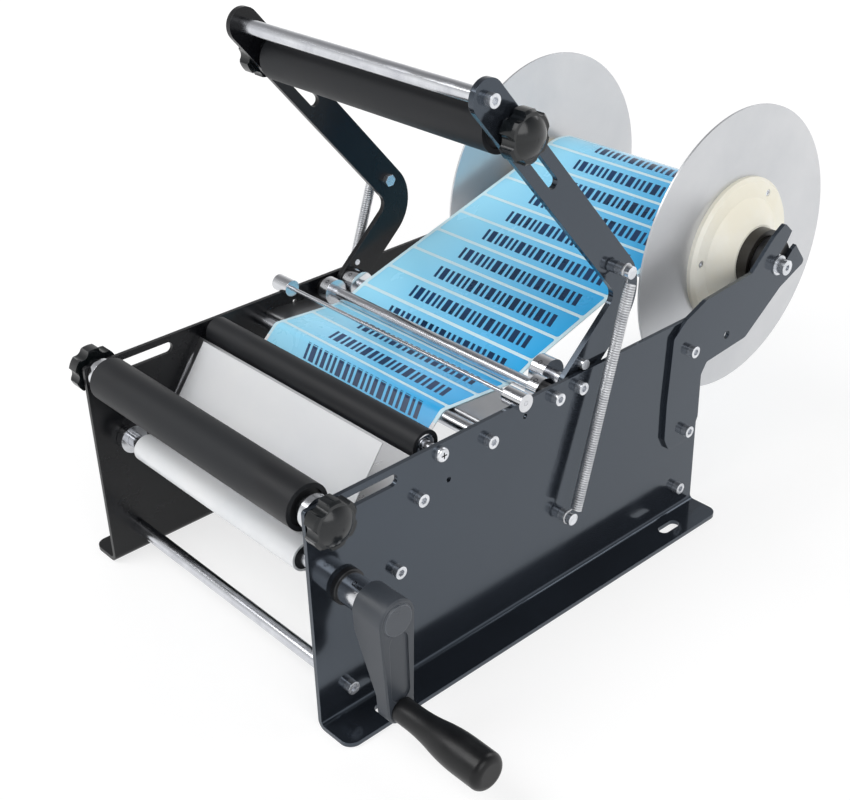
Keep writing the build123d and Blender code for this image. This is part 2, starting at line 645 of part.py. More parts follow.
def roller_sleeve(y, z, radius, wall, left_x, right_x):
    """Rubber-covered tube of a roller"""
    return tube(y, z, radius, radius - wall, left_x, right_x)


def roller_bearings(y, z, outer, bore, left_x, right_x):
    """Bearing bushes set into both ends of a roller's tube"""
    start = left_x + ROLLER_END_RECESS
    end = right_x - ROLLER_END_RECESS
    left = tube(y, z, outer, bore, start, start + ROLLER_BEARING_LENGTH)
    return [left, tube(y, z, outer, bore, end - ROLLER_BEARING_LENGTH, end)]


def star_knob(y, z, seat_x, thread_radius):
    """Lobed knob with a domed cap, on the right end of an axle"""
    start = seat_x + KNOB_BOSS_LENGTH
    end = start + KNOB_LENGTH
    plane = Plane((0, y, z), x_dir=(1, 0, 0), z_dir=(0, -1, 0))
    points = [(seat_x, 0), (seat_x, KNOB_BOSS_RADIUS), (start, KNOB_BOSS_RADIUS),
              (start, KNOB_RADIUS), (end - KNOB_EDGE, KNOB_RADIUS), (end, KNOB_RADIUS - KNOB_EDGE),
              (end, KNOB_DOME_RADIUS)]
    tip = (end + KNOB_DOME_RISE, 0)
    dome = TangentArc(tip, (end, KNOB_DOME_RADIUS), tangent=(0, 1))
    profile = make_face([Polyline(*points), dome, Line(tip, (seat_x, 0))])
    knob = revolve(plane * profile, Axis((0, y, z), (1, 0, 0)))
    reach = KNOB_RADIUS + KNOB_FLUTE_RADIUS - KNOB_FLUTE_DEPTH
    for index in range(KNOB_LOBES):
        turn = 2 * math.pi * index / KNOB_LOBES
        place = moved_along((y, z), (math.cos(turn), math.sin(turn)), reach)
        knob -= bar(*place, KNOB_FLUTE_RADIUS, start - OVERRUN, end + OVERRUN)
    return knob - bar(y, z, thread_radius + SEAT, seat_x - OVERRUN, end - KNOB_DOME_RISE)


def axle(y, z, radius, end_x):
    """Plain axle that ends in both knobs"""
    return bar(y, z, radius, -end_x, end_x)


def front_axle():
    """Axle of the front roller, through both slots into the knobs"""
    end = KNOB_X + KNOB_BOSS_LENGTH + KNOB_LENGTH - KNOB_DOME_RISE
    return axle(FRONT_SLOT_START_Y, FRONT_SLOT_Z, FRONT_AXLE_RADIUS, end)


def front_collars():
    """Chrome collars between the front roller and the plates"""
    y, z = FRONT_SLOT_START_Y, FRONT_SLOT_Z
    bore = FRONT_AXLE_RADIUS + SEAT
    start = FRONT_ROLLER_HALF + AIR
    end = INNER_X - AIR
    middle = (start + end) / 2
    collar = tube(y, z, FRONT_COLLAR_RADIUS, bore, start, end)
    ring = tube(y, z, FRONT_COLLAR_RING, bore, middle, end)
    return both_sides(collar + ring)


def front_knobs():
    """Star knobs of the front roller"""
    return both_sides(star_knob(FRONT_SLOT_START_Y, FRONT_SLOT_Z, KNOB_X, FRONT_AXLE_RADIUS))


# Drive roller and crank

def drive_bushes():
    """Flanged bushes of the drive shaft in both plates"""
    bore = DRIVE_SHAFT_RADIUS + RUN
    bush = tube(DRIVE_Y, DRIVE_Z, BUSH_RADIUS, bore, INNER_X, OUTER_X)
    flange = tube(DRIVE_Y, DRIVE_Z, BUSH_FLANGE_RADIUS, bore, OUTER_X, OUTER_X + BUSH_FLANGE_LENGTH)
    return both_sides(bush + flange)


def drive_shaft():
    """Shaft from the left bush to the crank's hub"""
    left = -OUTER_X - BUSH_FLANGE_LENGTH
    return bar(DRIVE_Y, DRIVE_Z, DRIVE_SHAFT_RADIUS, left, CRANK_FACE_X - CRANK_CAP_DEPTH)


def drive_sleeve():
    """Rubber sleeve that pulls the liner"""
    return tube(DRIVE_Y, DRIVE_Z, DRIVE_SLEEVE_RADIUS, DRIVE_SHAFT_RADIUS + SEAT, WEB_LEFT_X, WEB_RIGHT_X)


def wound_liner():
    """Used liner wound on the drive roller"""
    return tube(DRIVE_Y, DRIVE_Z, WOUND_RADIUS, DRIVE_SLEEVE_RADIUS + SEAT, WEB_LEFT_X, WEB_RIGHT_X)


def drive_collars():
    """Set collars inside both plates and the long one behind the crank"""
    bore = DRIVE_SHAFT_RADIUS + SEAT
    end = INNER_X - AIR
    inner = tube(DRIVE_Y, DRIVE_Z, SHAFT_COLLAR_RADIUS, bore, end - INNER_COLLAR_LENGTH, end)
    start = OUTER_X + BUSH_FLANGE_LENGTH + AIR
    outer = tube(DRIVE_Y, DRIVE_Z, SHAFT_COLLAR_RADIUS, bore, start, start + SHAFT_COLLAR_LENGTH)
    return [*both_sides(inner), outer]


def crank_arm():
    """Moulded arm: hub, tapering web with a recessed channel, and the eye for the grip's pin"""
    hub = disc_face(DRIVE_Y, DRIVE_Z, CRANK_HUB_RADIUS)
    eye = disc_face(DRIVE_Y, GRIP_Z, CRANK_END_RADIUS)
    outline = make_hull([*hub.edges(), *eye.edges()])
    body = slab(outline, CRANK_BACK_X, CRANK_FACE_X)
    lean_top = DRIVE_Z - CRANK_HUB_RADIUS
    lean_foot = GRIP_Z + CRANK_END_RADIUS
    waste = make_face(Polyline(
        (CRANK_BACK_X - OVERRUN, lean_top), (CRANK_BACK_X, lean_top),
        (CRANK_FACE_X - CRANK_END_THICKNESS, lean_foot),
        (CRANK_FACE_X - CRANK_END_THICKNESS, GRIP_Z - CRANK_HUB_RADIUS),
        (CRANK_BACK_X - OVERRUN, GRIP_Z - CRANK_HUB_RADIUS), close=True))
    side = Plane((0, DRIVE_Y + CRANK_HUB_RADIUS + OVERRUN, 0), x_dir=(1, 0, 0), z_dir=(0, -1, 0))
    body -= extrude(side * waste, 2 * (CRANK_HUB_RADIUS + OVERRUN))
    body = chamfer(body.faces().sort_by(Axis.X)[-1].edges(), CRANK_EDGE)
    channel_radius = CRANK_END_RADIUS - CHANNEL_RIM
    channel_top = disc_face(DRIVE_Y, DRIVE_Z - CRANK_HUB_RADIUS - CHANNEL_RIM, channel_radius)
    channel_foot = disc_face(DRIVE_Y, GRIP_Z + CRANK_HUB_RADIUS, channel_radius)
    channel = make_hull([*channel_top.edges(), *channel_foot.edges()])
    body -= slab(channel, CRANK_FACE_X - CHANNEL_DEPTH, CRANK_FACE_X + OVERRUN)
    body -= bar(DRIVE_Y, DRIVE_Z, CRANK_CAP_RADIUS, CRANK_FACE_X - CRANK_CAP_DEPTH, CRANK_FACE_X + OVERRUN)
    body -= bar(DRIVE_Y, DRIVE_Z, DRIVE_SHAFT_RADIUS + SEAT, CRANK_BACK_X - OVERRUN, CRANK_FACE_X)
    body -= bar(DRIVE_Y, GRIP_Z, GRIP_PIN_RADIUS + SEAT, CRANK_BACK_X, CRANK_FACE_X + OVERRUN)
    return body


def crank_cap():
    """Round cap in the hub's face"""
    radius = CRANK_CAP_RADIUS - SEAT
    start = CRANK_FACE_X - CRANK_CAP_DEPTH
    cap = bar(DRIVE_Y, DRIVE_Z, radius, start, CRANK_FACE_X + CRANK_CAP_RISE)
    return chamfer(cap.edges().filter_by(GeomType.CIRCLE).sort_by(Axis.X)[-1], CRANK_CAP_RISE)


def grip_pin():
    """Pin that the grip turns on, with its head behind the arm"""
    back = CRANK_FACE_X - CRANK_END_THICKNESS
    head = bar(DRIVE_Y, GRIP_Z, GRIP_PIN_HEAD_RADIUS, back - GRIP_PIN_HEAD_LENGTH, back)
    return head + bar(DRIVE_Y, GRIP_Z, GRIP_PIN_RADIUS, back, CRANK_FACE_X + GRIP_PIN_LENGTH)


def crank_grip():
    """Turned grip: narrow neck, swelling towards a rounded end"""
    start = CRANK_FACE_X + AIR
    end = start + GRIP_LENGTH
    neck = start + GRIP_NECK_LENGTH
    swell = start + GRIP_LENGTH * GRIP_SWELL_SHARE
    plane = Plane((0, DRIVE_Y, GRIP_Z), x_dir=(1, 0, 0), z_dir=(0, -1, 0))
    middle = ((neck + swell) / 2, (GRIP_NECK_RADIUS + GRIP_SWELL_RADIUS) / 2)
    shoulder = (end, GRIP_SWELL_RADIUS - SEAT)
    lines = [Line((start, 0), (start, GRIP_NECK_RADIUS)),
             Line((start, GRIP_NECK_RADIUS), (neck, GRIP_NECK_RADIUS)),
             TangentArc((neck, GRIP_NECK_RADIUS), middle, tangent=(1, 0)),
             TangentArc((swell, GRIP_SWELL_RADIUS), middle, tangent=(-1, 0)),
             Line((swell, GRIP_SWELL_RADIUS), shoulder),
             Line(shoulder, (end, 0)),
             Line((end, 0), (start, 0))]
    grip = revolve(plane * make_face(lines), Axis((0, DRIVE_Y, GRIP_Z), (1, 0, 0)))
    rim = grip.edges().filter_by(GeomType.CIRCLE).sort_by(Axis.X)[-1]
    grip = fillet(rim, GRIP_END_FILLET)
    pin_end = CRANK_FACE_X + GRIP_PIN_LENGTH + AIR
    return grip - bar(DRIVE_Y, GRIP_Z, GRIP_PIN_RADIUS + RUN, CRANK_FACE_X, pin_end)


# Press arm

def arm_heading():
    """Unit heading in Y and Z along the arm's upper leg, from its top rod to the elbow"""
    span_y = ELBOW_Y - ARM_END_Y
    span_z = ELBOW_Z - ARM_END_Z
    angle = math.atan2(span_z, span_y) + math.asin(ELBOW_RADIUS / math.hypot(span_y, span_z))
    return (math.cos(angle), math.sin(angle))


def on_arm(distance):
    """Point on the upper leg's middle line, at a distance from the top rod's axis"""
    return moved_along((ARM_END_Y, ARM_END_Z), arm_heading(), distance)


def arm_strap_right():
    """Dog-leg strap with its pivot hole, roller slot, rod hole and spring hole"""
    rounds = [(PIVOT_Y, PIVOT_Z, 0), (ELBOW_Y, ELBOW_Z, ELBOW_RADIUS), (ARM_END_Y, ARM_END_Z, 0)]
    face = belt_face(rounds, STRAP_WIDTH)
    face += disc_face(PIVOT_Y, PIVOT_Z, STRAP_WIDTH / 2)
    face += disc_face(ARM_END_Y, ARM_END_Z, STRAP_WIDTH / 2)
    face -= disc_face(PIVOT_Y, PIVOT_Z, PIVOT_SHAFT_RADIUS + RUN)
    face -= disc_face(ARM_END_Y, ARM_END_Z, SCREW_HOLE_RADIUS)
    face -= disc_face(SPRING_TOP_Y, SPRING_TOP_Z, SCREW_HOLE_RADIUS)
    face -= disc_face(STOP_Y, STOP_Z, STOP_SHANK_RADIUS + SEAT)
    face -= slot_face(on_arm(PRESS_SLOT_START), on_arm(PRESS_SLOT_END), PRESS_SLOT_WIDTH)
    return slab(face, STRAP_INNER_X, STRAP_OUTER_X)


def arm_top_rod():
    """Rod that joins the two straps at their ends"""
    rod = bar(ARM_END_Y, ARM_END_Z, TOP_ROD_RADIUS, -STRAP_INNER_X, STRAP_INNER_X)
    start = STRAP_INNER_X - SCREW_GRIP - SEAT
    for drill in both_sides(bar(ARM_END_Y, ARM_END_Z, SCREW_RADIUS + SEAT, start, STRAP_INNER_X + OVERRUN)):
        rod -= drill
    return rod


def arm_screws():
    """Screws that hold the top rod to the straps, and the stop screws near the pivot"""
    top = cap_screw(ARM_END_Y, ARM_END_Z, STRAP_OUTER_X, STRAP_THICKNESS + SCREW_GRIP)
    head = bar(STOP_Y, STOP_Z, STOP_HEAD_RADIUS, STRAP_OUTER_X, STRAP_OUTER_X + STOP_HEAD_LENGTH)
    shank = bar(STOP_Y, STOP_Z, STOP_SHANK_RADIUS, STRAP_INNER_X, STRAP_OUTER_X)
    return both_sides(top) + both_sides(head + shank)


def spring_bolt(y, z, line_x, wall_inner, wall_outer):
    """Bolt that carries a spring's eye at line_x, with its nut behind the wall"""
    groove_end = line_x + SPRING_WIRE_RADIUS + AIR
    shank = bar(y, z, SPRING_BOLT_RADIUS, wall_inner - NUT_LENGTH, groove_end)
    head = bar(y, z, SCREW_HEAD_RADIUS, groove_end, groove_end + SPRING_HEAD_LENGTH)
    spacer_end = line_x - SPRING_WIRE_RADIUS - AIR
    spacer = tube(y, z, SCREW_HEAD_RADIUS, SPRING_BOLT_RADIUS - SEAT, wall_outer, spacer_end)
    nut = slab(Pos(y, z) * RegularPolygon(NUT_RADIUS, 6), wall_inner - NUT_LENGTH, wall_inner)
    return shank + head + spacer + nut


def spring_foot_bolts():
    """Lower anchors of the springs, on the plates"""
    return both_sides(spring_bolt(SPRING_FOOT_Y, SPRING_FOOT_Z, SPRING_FOOT_X, INNER_X, OUTER_X))


def spring_top_bolts():
    """Upper anchors of the springs, on the straps"""
    bolt = spring_bolt(SPRING_TOP_Y, SPRING_TOP_Z, SPRING_TOP_X, STRAP_INNER_X, STRAP_OUTER_X)
    return both_sides(bolt)


def extension_spring():
    """Close-wound spring body with an eye at each end"""
    foot = Vector(SPRING_FOOT_X, SPRING_FOOT_Y, SPRING_FOOT_Z)
    top = Vector(SPRING_TOP_X, SPRING_TOP_Y, SPRING_TOP_Z)
    heading = (top - foot).normalized()
    stand = SCREW_HEAD_RADIUS + AIR
    base = Plane(foot + heading * stand, z_dir=heading)
    spring = extrude(base * Circle(SPRING_RADIUS), (top - foot).length - 2 * stand)
    for x, y, z in (foot.to_tuple(), top.to_tuple()):
        outer = SPRING_EYE_RADIUS + 2 * SPRING_WIRE_RADIUS
        spring += tube(y, z, outer, SPRING_EYE_RADIUS, x - SPRING_WIRE_RADIUS, x + SPRING_WIRE_RADIUS)
    return spring


def pivot_collars():
    """Set collars on the pivot shaft, one beside the web and one beside the left strap, and end washers"""
    y, z = PIVOT_Y, PIVOT_Z
    bore = PIVOT_SHAFT_RADIUS + SEAT
    right = WEB_RIGHT_X + PIVOT_COLLAR_GAP
    left = -STRAP_INNER_X + AIR
    washer = tube(y, z, PIVOT_WASHER_RADIUS, bore, STRAP_OUTER_X + AIR, INNER_X)
    return [
        tube(y, z, PIVOT_COLLAR_RADIUS, bore, right, right + PIVOT_COLLAR_LENGTH),
        tube(y, z, PIVOT_COLLAR_RADIUS, bore, left, left + PIVOT_COLLAR_LENGTH),
        *both_sides(washer),
    ]


def press_axle():
    """Axle of the press roller, through both straps' slots into the knobs"""
    end = STRAP_OUTER_X + AIR + KNOB_BOSS_LENGTH + KNOB_LENGTH - KNOB_DOME_RISE
    return axle(*on_arm(PRESS_ROLLER_AT), PRESS_AXLE_RADIUS, end)


def press_collars():
    """Spacer collars between the press roller and the straps"""
    y, z = on_arm(PRESS_ROLLER_AT)
    bore = PRESS_AXLE_RADIUS + SEAT
    return both_sides(tube(y, z, PRESS_COLLAR_RADIUS, bore, PRESS_ROLLER_HALF + AIR, STRAP_INNER_X - AIR))


def press_knobs():
    """Star knobs of the press roller"""
    return both_sides(star_knob(*on_arm(PRESS_ROLLER_AT), STRAP_OUTER_X + AIR, PRESS_AXLE_RADIUS))


# Reel

def bracket_point(shares):
    """Point of the bracket's outline from its shares"""
    run = REEL_Y - BRACKET_FRONT_Y
    rise = REEL_Z - BRACKET_BOTTOM_Z
    return (BRACKET_FRONT_Y + shares[0] * run, BRACKET_BOTTOM_Z + shares[1] * rise)


def reel_bracket_right():
    """Bracket outside the plate, with an open slot that the reel's shaft drops into"""
    face = make_face(Polyline(*[bracket_point(pair) for pair in BRACKET_SHARES], close=True))
    face = fillet(face.vertices(), BRACKET_CORNER_RADIUS)
    angle = math.radians(BRACKET_SLOT_ANGLE)
    heading = (math.cos(angle), math.sin(angle))
    seat = (REEL_Y, REEL_Z)
    face -= slot_face(seat, moved_along(seat, heading, BRACKET_SLOT_LENGTH), BRACKET_SLOT_WIDTH)
    mouth_start = moved_along(seat, heading, BRACKET_MOUTH_AT)
    mouth_end = moved_along(seat, heading, BRACKET_SLOT_LENGTH)
    across = (-heading[1], heading[0])
    half = BRACKET_SLOT_WIDTH / 2
    wide = half + BRACKET_MOUTH_WIDTH - BRACKET_SLOT_WIDTH
    face -= make_face(Polyline(
        moved_along(mouth_start, across, half), moved_along(mouth_end, across, wide),
        moved_along(mouth_end, across, -wide), moved_along(mouth_start, across, -half), close=True))
    for y, z, radius in (
            (BRACKET_SCREW_Y, BRACKET_SCREW_LOW_Z, SCREW_HOLE_RADIUS),
            (BRACKET_SCREW_Y, BRACKET_SCREW_HIGH_Z, SCREW_HOLE_RADIUS),
            (BRACKET_HOLE_Y, BRACKET_HOLE_Z, BRACKET_HOLE_RADIUS)):
        face -= disc_face(y, z, radius)
    return slab(face, OUTER_X, BRACKET_X)


def bracket_screws():
    """Screws that hold the brackets to the plates"""
    length = BRACKET_THICKNESS + PLATE_THICKNESS + NUT_LENGTH
    screws = []
    for z in (BRACKET_SCREW_LOW_Z, BRACKET_SCREW_HIGH_Z):
        screws += both_sides(cap_screw(BRACKET_SCREW_Y, z, BRACKET_X, length))
    return screws


def bracket_nuts():
    """Nuts behind the plates"""
    nuts = []
    for z in (BRACKET_SCREW_LOW_Z, BRACKET_SCREW_HIGH_Z):
        face = Pos(BRACKET_SCREW_Y, z) * RegularPolygon(NUT_RADIUS, 6)
        face -= disc_face(BRACKET_SCREW_Y, z, SCREW_RADIUS + SEAT)
        nuts += both_sides(slab(face, INNER_X - NUT_LENGTH, INNER_X))
    return nuts


def reel_shaft():
    """Shaft with turned-down ends that sit in the brackets' slots"""
    shaft = bar(REEL_Y, REEL_Z, REEL_SHAFT_RADIUS, -OUTER_X, OUTER_X)
    shaft += bar(REEL_Y, REEL_Z, REEL_END_RADIUS, -BRACKET_X, BRACKET_X)
    start = BRACKET_X - SCREW_GRIP - SEAT
    for drill in both_sides(bar(REEL_Y, REEL_Z, SCREW_RADIUS + SEAT, start, BRACKET_X + OVERRUN)):
        shaft -= drill
    return shaft


def shaft_end_washers():
    """Washers outside the brackets"""
    end = BRACKET_X + END_WASHER_THICKNESS
    return both_sides(tube(REEL_Y, REEL_Z, END_WASHER_RADIUS, SCREW_HOLE_RADIUS, BRACKET_X, end))


def shaft_end_screws():
    """Screws in the shaft's ends"""
    seat = BRACKET_X + END_WASHER_THICKNESS
    length = END_WASHER_THICKNESS + SCREW_GRIP
    return both_sides(cap_screw(REEL_Y, REEL_Z, seat, length, END_HEAD_RADIUS, END_HEAD_LENGTH))


def shaft_stop_collar():
    """Black collar on the shaft beside the right bracket"""
    end = OUTER_X - AIR
    bore = REEL_SHAFT_RADIUS + SEAT
    return tube(REEL_Y, REEL_Z, STOP_COLLAR_RADIUS, bore, end - STOP_COLLAR_LENGTH, end)


def reel_disc(inner_x):
    """Flat aluminium disc, with its inner face at inner_x"""
    return tube(REEL_Y, REEL_Z, DISC_RADIUS, REEL_SHAFT_RADIUS + RUN, inner_x, inner_x + DISC_THICKNESS)


def reel_hub(start, thickness, cone_height):
    """Cream hub outside a disc, with a bevelled rim, a cone towards the shaft and screw holes"""
    bore = REEL_SHAFT_RADIUS + RUN
    face = start + thickness
    points = [(start, bore), (start, HUB_RADIUS),
              (face - HUB_BEVEL, HUB_RADIUS), (face, HUB_RADIUS - HUB_BEVEL)]
    if cone_height:
        points += [(face, HUB_CONE_RADIUS), (face + cone_height, HUB_NECK_RADIUS)]
    points.append((face + cone_height, bore))
    hub = turned(points, REEL_Y, REEL_Z)
    for index in range(HUB_SCREW_COUNT):
        turn = math.radians(HUB_SCREW_TURN) + 2 * math.pi * index / HUB_SCREW_COUNT
        place = moved_along((REEL_Y, REEL_Z), (math.cos(turn), math.sin(turn)), HUB_SCREW_CIRCLE)
        hub -= bar(*place, HUB_SCREW_RADIUS, face - HUB_SCREW_DEPTH, face + OVERRUN)
    return hub


def hub_sleeve():
    """Black sleeve on the right hub, hollow so that it passes over the stop collar"""
    bore = STOP_COLLAR_RADIUS + AIR
    end = SLEEVE_START_X + HUB_SLEEVE_LENGTH
    return tube(REEL_Y, REEL_Z, HUB_SLEEVE_RADIUS, bore, SLEEVE_START_X, end)


def roll_core():
    """Hard core of the label roll"""
    end = DISC_RIGHT_X - AIR
    return tube(REEL_Y, REEL_Z, CORE_RADIUS, CORE_RADIUS - CORE_WALL, DISC_LEFT_X, end)


def core_carrier():
    """Plug on the left disc that centres the core on the shaft"""
    end = DISC_LEFT_X + CARRIER_LENGTH
    outer = CORE_RADIUS - CORE_WALL - SEAT
    return tube(REEL_Y, REEL_Z, outer, REEL_SHAFT_RADIUS + RUN, DISC_LEFT_X, end)


def label_roll():
    """Labels wound on the core"""
    return tube(REEL_Y, REEL_Z, ROLL_RADIUS, CORE_RADIUS + SEAT, WEB_LEFT_X, WEB_RIGHT_X)


NODES = {
    "side_plate_right": side_plate_right,
    "side_plate_left": lambda: mirrored(side_plate_right()),
    "front_tie_rod": lambda: tie_rod(FRONT_TIE_Y, TIE_Z, TIE_ROD_RADIUS),
    "rear_tie_rod": lambda: tie_rod(REAR_TIE_Y, TIE_Z, TIE_ROD_RADIUS),
    "upper_support_rod": lambda: tie_rod(UPPER_SUPPORT_Y, UPPER_SUPPORT_Z, SUPPORT_ROD_RADIUS),
    "lower_support_rod": lambda: tie_rod(LOWER_SUPPORT_Y, LOWER_SUPPORT_Z, SUPPORT_ROD_RADIUS),
    "peel_rod": lambda: tie_rod(PEEL_Y, PEEL_Z, PEEL_ROD_RADIUS),
    "guide_bar": lambda: tie_rod(GUIDE_Y, GUIDE_Z, GUIDE_BAR_RADIUS),
    "guide_bar_collars": guide_bar_collars,
    "guide_bar_bushes": guide_bar_bushes,
    "arm_pivot_shaft": lambda: tie_rod(PIVOT_Y, PIVOT_Z, PIVOT_SHAFT_RADIUS),
    "pivot_collars": pivot_collars,
    "frame_screws": frame_screws,
    "hold_down_wire": hold_down_wire,
    "wire_barrels": wire_barrels,
    "table_plate": table_plate,
    "chute_plate": chute_plate,
    "chute_facing": chute_facing,
    "label_web": label_web,
    "web_labels": web_labels,
    "front_axle": front_axle,
    "front_collars": front_collars,
    "front_knobs": front_knobs,
    "front_roller_sleeve": lambda: roller_sleeve(
        FRONT_SLOT_START_Y, FRONT_SLOT_Z, FRONT_ROLLER_RADIUS, ROLLER_TUBE_WALL,
        -FRONT_ROLLER_HALF, FRONT_ROLLER_HALF),
    "front_roller_bearings": lambda: roller_bearings(
        FRONT_SLOT_START_Y, FRONT_SLOT_Z, FRONT_ROLLER_RADIUS - ROLLER_TUBE_WALL,
        FRONT_AXLE_RADIUS + RUN, -FRONT_ROLLER_HALF, FRONT_ROLLER_HALF),
    "rear_axle": lambda: tie_rod(REAR_ROLLER_Y, REAR_ROLLER_Z, REAR_AXLE_RADIUS),
    "rear_roller_sleeve": lambda: roller_sleeve(
        REAR_ROLLER_Y, REAR_ROLLER_Z, REAR_ROLLER_RADIUS, REAR_TUBE_WALL,
        REAR_ROLLER_LEFT_X, REAR_ROLLER_RIGHT_X),
    "rear_roller_bearings": lambda: roller_bearings(
        REAR_ROLLER_Y, REAR_ROLLER_Z, REAR_ROLLER_RADIUS - REAR_TUBE_WALL,
        REAR_AXLE_RADIUS + RUN, REAR_ROLLER_LEFT_X, REAR_ROLLER_RIGHT_X),
    "drive_bushes": drive_bushes,
    "drive_shaft": drive_shaft,
    "drive_sleeve": drive_sleeve,
    "wound_liner": wound_liner,
    "drive_collars": drive_collars,
    "crank_arm": crank_arm,
    "crank_cap": crank_cap,
    "grip_pin": grip_pin,
    "crank_grip": crank_grip,
    "arm_strap_right": arm_strap_right,
    "arm_strap_left": lambda: mirrored(arm_strap_right()),
    "arm_top_rod": arm_top_rod,
    "arm_screws": arm_screws,
    "spring_top_bolts": spring_top_bolts,
    "spring_foot_bolts": spring_foot_bolts,
    "extension_springs": lambda: both_sides(extension_spring()),
    "press_axle": press_axle,
    "press_collars": press_collars,
    "press_knobs": press_knobs,
    "press_roller_sleeve": lambda: roller_sleeve(
        *on_arm(PRESS_ROLLER_AT), PRESS_ROLLER_RADIUS, ROLLER_TUBE_WALL,
        -PRESS_ROLLER_HALF, PRESS_ROLLER_HALF),
    "press_roller_bearings": lambda: roller_bearings(
        *on_arm(PRESS_ROLLER_AT), PRESS_ROLLER_RADIUS - ROLLER_TUBE_WALL,
        PRESS_AXLE_RADIUS + RUN, -PRESS_ROLLER_HALF, PRESS_ROLLER_HALF),
    "reel_bracket_right": reel_bracket_right,
    "reel_bracket_left": lambda: mirrored(reel_bracket_right()),
    "bracket_screws": lambda: bracket_screws() + bracket_nuts(),
    "reel_shaft": reel_shaft,
    "shaft_end_screws": lambda: shaft_end_washers() + shaft_end_screws(),
    "shaft_stop_collar": shaft_stop_collar,
    "reel_disc_left": lambda: reel_disc(DISC_LEFT_X - DISC_THICKNESS),
    "reel_hub_left": lambda: [mirrored(reel_hub(LEFT_HUB_X, LEFT_HUB_THICKNESS, 0)), core_carrier()],
    "reel_disc_right": lambda: reel_disc(DISC_RIGHT_X),
    "reel_hub_right": lambda: [
        reel_hub(DISC_RIGHT_X + DISC_THICKNESS, HUB_THICKNESS, HUB_CONE_HEIGHT), hub_sleeve()],
    "label_roll": lambda: [roll_core(), label_roll()],
}

os.makedirs("parts", exist_ok=True)
for name, make in NODES.items():
    shape = make()
    pieces = shape if isinstance(shape, list) else [shape]
    solids = [solid for piece in pieces for solid in piece.solids()]
    whole = solids[0] if len(solids) == 1 else Compound(children=solids)
    whole.label = name
    export_step(whole, f"parts/{name}.step")
    print(name, len(solids))
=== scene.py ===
"""Looks of a manual bottle labelling machine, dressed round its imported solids."""

import logging
import math
from collections.abc import Sequence
from dataclasses import dataclass, field
from enum import Enum

import bpy
from mathutils import Matrix, Vector


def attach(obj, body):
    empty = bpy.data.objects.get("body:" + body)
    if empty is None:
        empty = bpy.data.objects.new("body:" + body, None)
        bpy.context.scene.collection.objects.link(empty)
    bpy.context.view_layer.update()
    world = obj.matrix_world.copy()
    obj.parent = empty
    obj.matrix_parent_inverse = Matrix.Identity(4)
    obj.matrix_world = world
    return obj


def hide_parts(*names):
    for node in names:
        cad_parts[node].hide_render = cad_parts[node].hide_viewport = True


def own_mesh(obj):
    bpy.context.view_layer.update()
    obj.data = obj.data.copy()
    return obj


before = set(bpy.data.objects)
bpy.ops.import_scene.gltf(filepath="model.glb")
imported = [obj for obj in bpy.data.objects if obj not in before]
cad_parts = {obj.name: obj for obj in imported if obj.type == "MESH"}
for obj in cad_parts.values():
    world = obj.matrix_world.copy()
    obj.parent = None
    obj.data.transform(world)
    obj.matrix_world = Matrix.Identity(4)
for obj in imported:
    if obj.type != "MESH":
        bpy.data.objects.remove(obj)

LOG = logging.getLogger("labelling_machine")
MILLIMETRE = 0.001
SHARP_ANGLE = 35.0
X_AXIS = (1.0, 0.0, 0.0)
WHITE = (1.0, 1.0, 1.0, 1.0)
Pair = tuple[float, float]
Point = tuple[float, float, float]
Rgba = tuple[float, float, float, float]
Mesh = tuple[list[Point], list[tuple[int, ...]]]
Node = bpy.types.Node
Socket = bpy.types.NodeSocket


class Effect(Enum):
    """Surface effects that several finishes share."""

    GRAIN = "Moulded grain"
    DRAWN = "Drawn lines"
    RINGS = "Turning rings"
    MARKS = "Handling marks"
    EDGES = "Worn and highlighted edges"


class Texture(Enum):
    """What the relief of a finish comes from."""

    GRAIN = "grain"
    DRAWN = "drawn lines"
    RINGS = "turned rings"


class Past(Enum):
    """Side of a plane, as the test of a Math node."""

    ABOVE = "GREATER_THAN"
    BELOW = "LESS_THAN"


@dataclass(frozen=True)
class Colour:
    """A colour as it is seen on a screen, in steps of 0 to 255."""

    red: float
    green: float
    blue: float

    def linear(self) -> Rgba:
        """Colour in the light values that shaders use."""
        steps = [value / 255 for value in (self.red, self.green, self.blue)]
        light = [s / 12.92 if s <= 0.04045 else ((s + 0.055) / 1.055) ** 2.4 for s in steps]
        return (*light, 1.0)


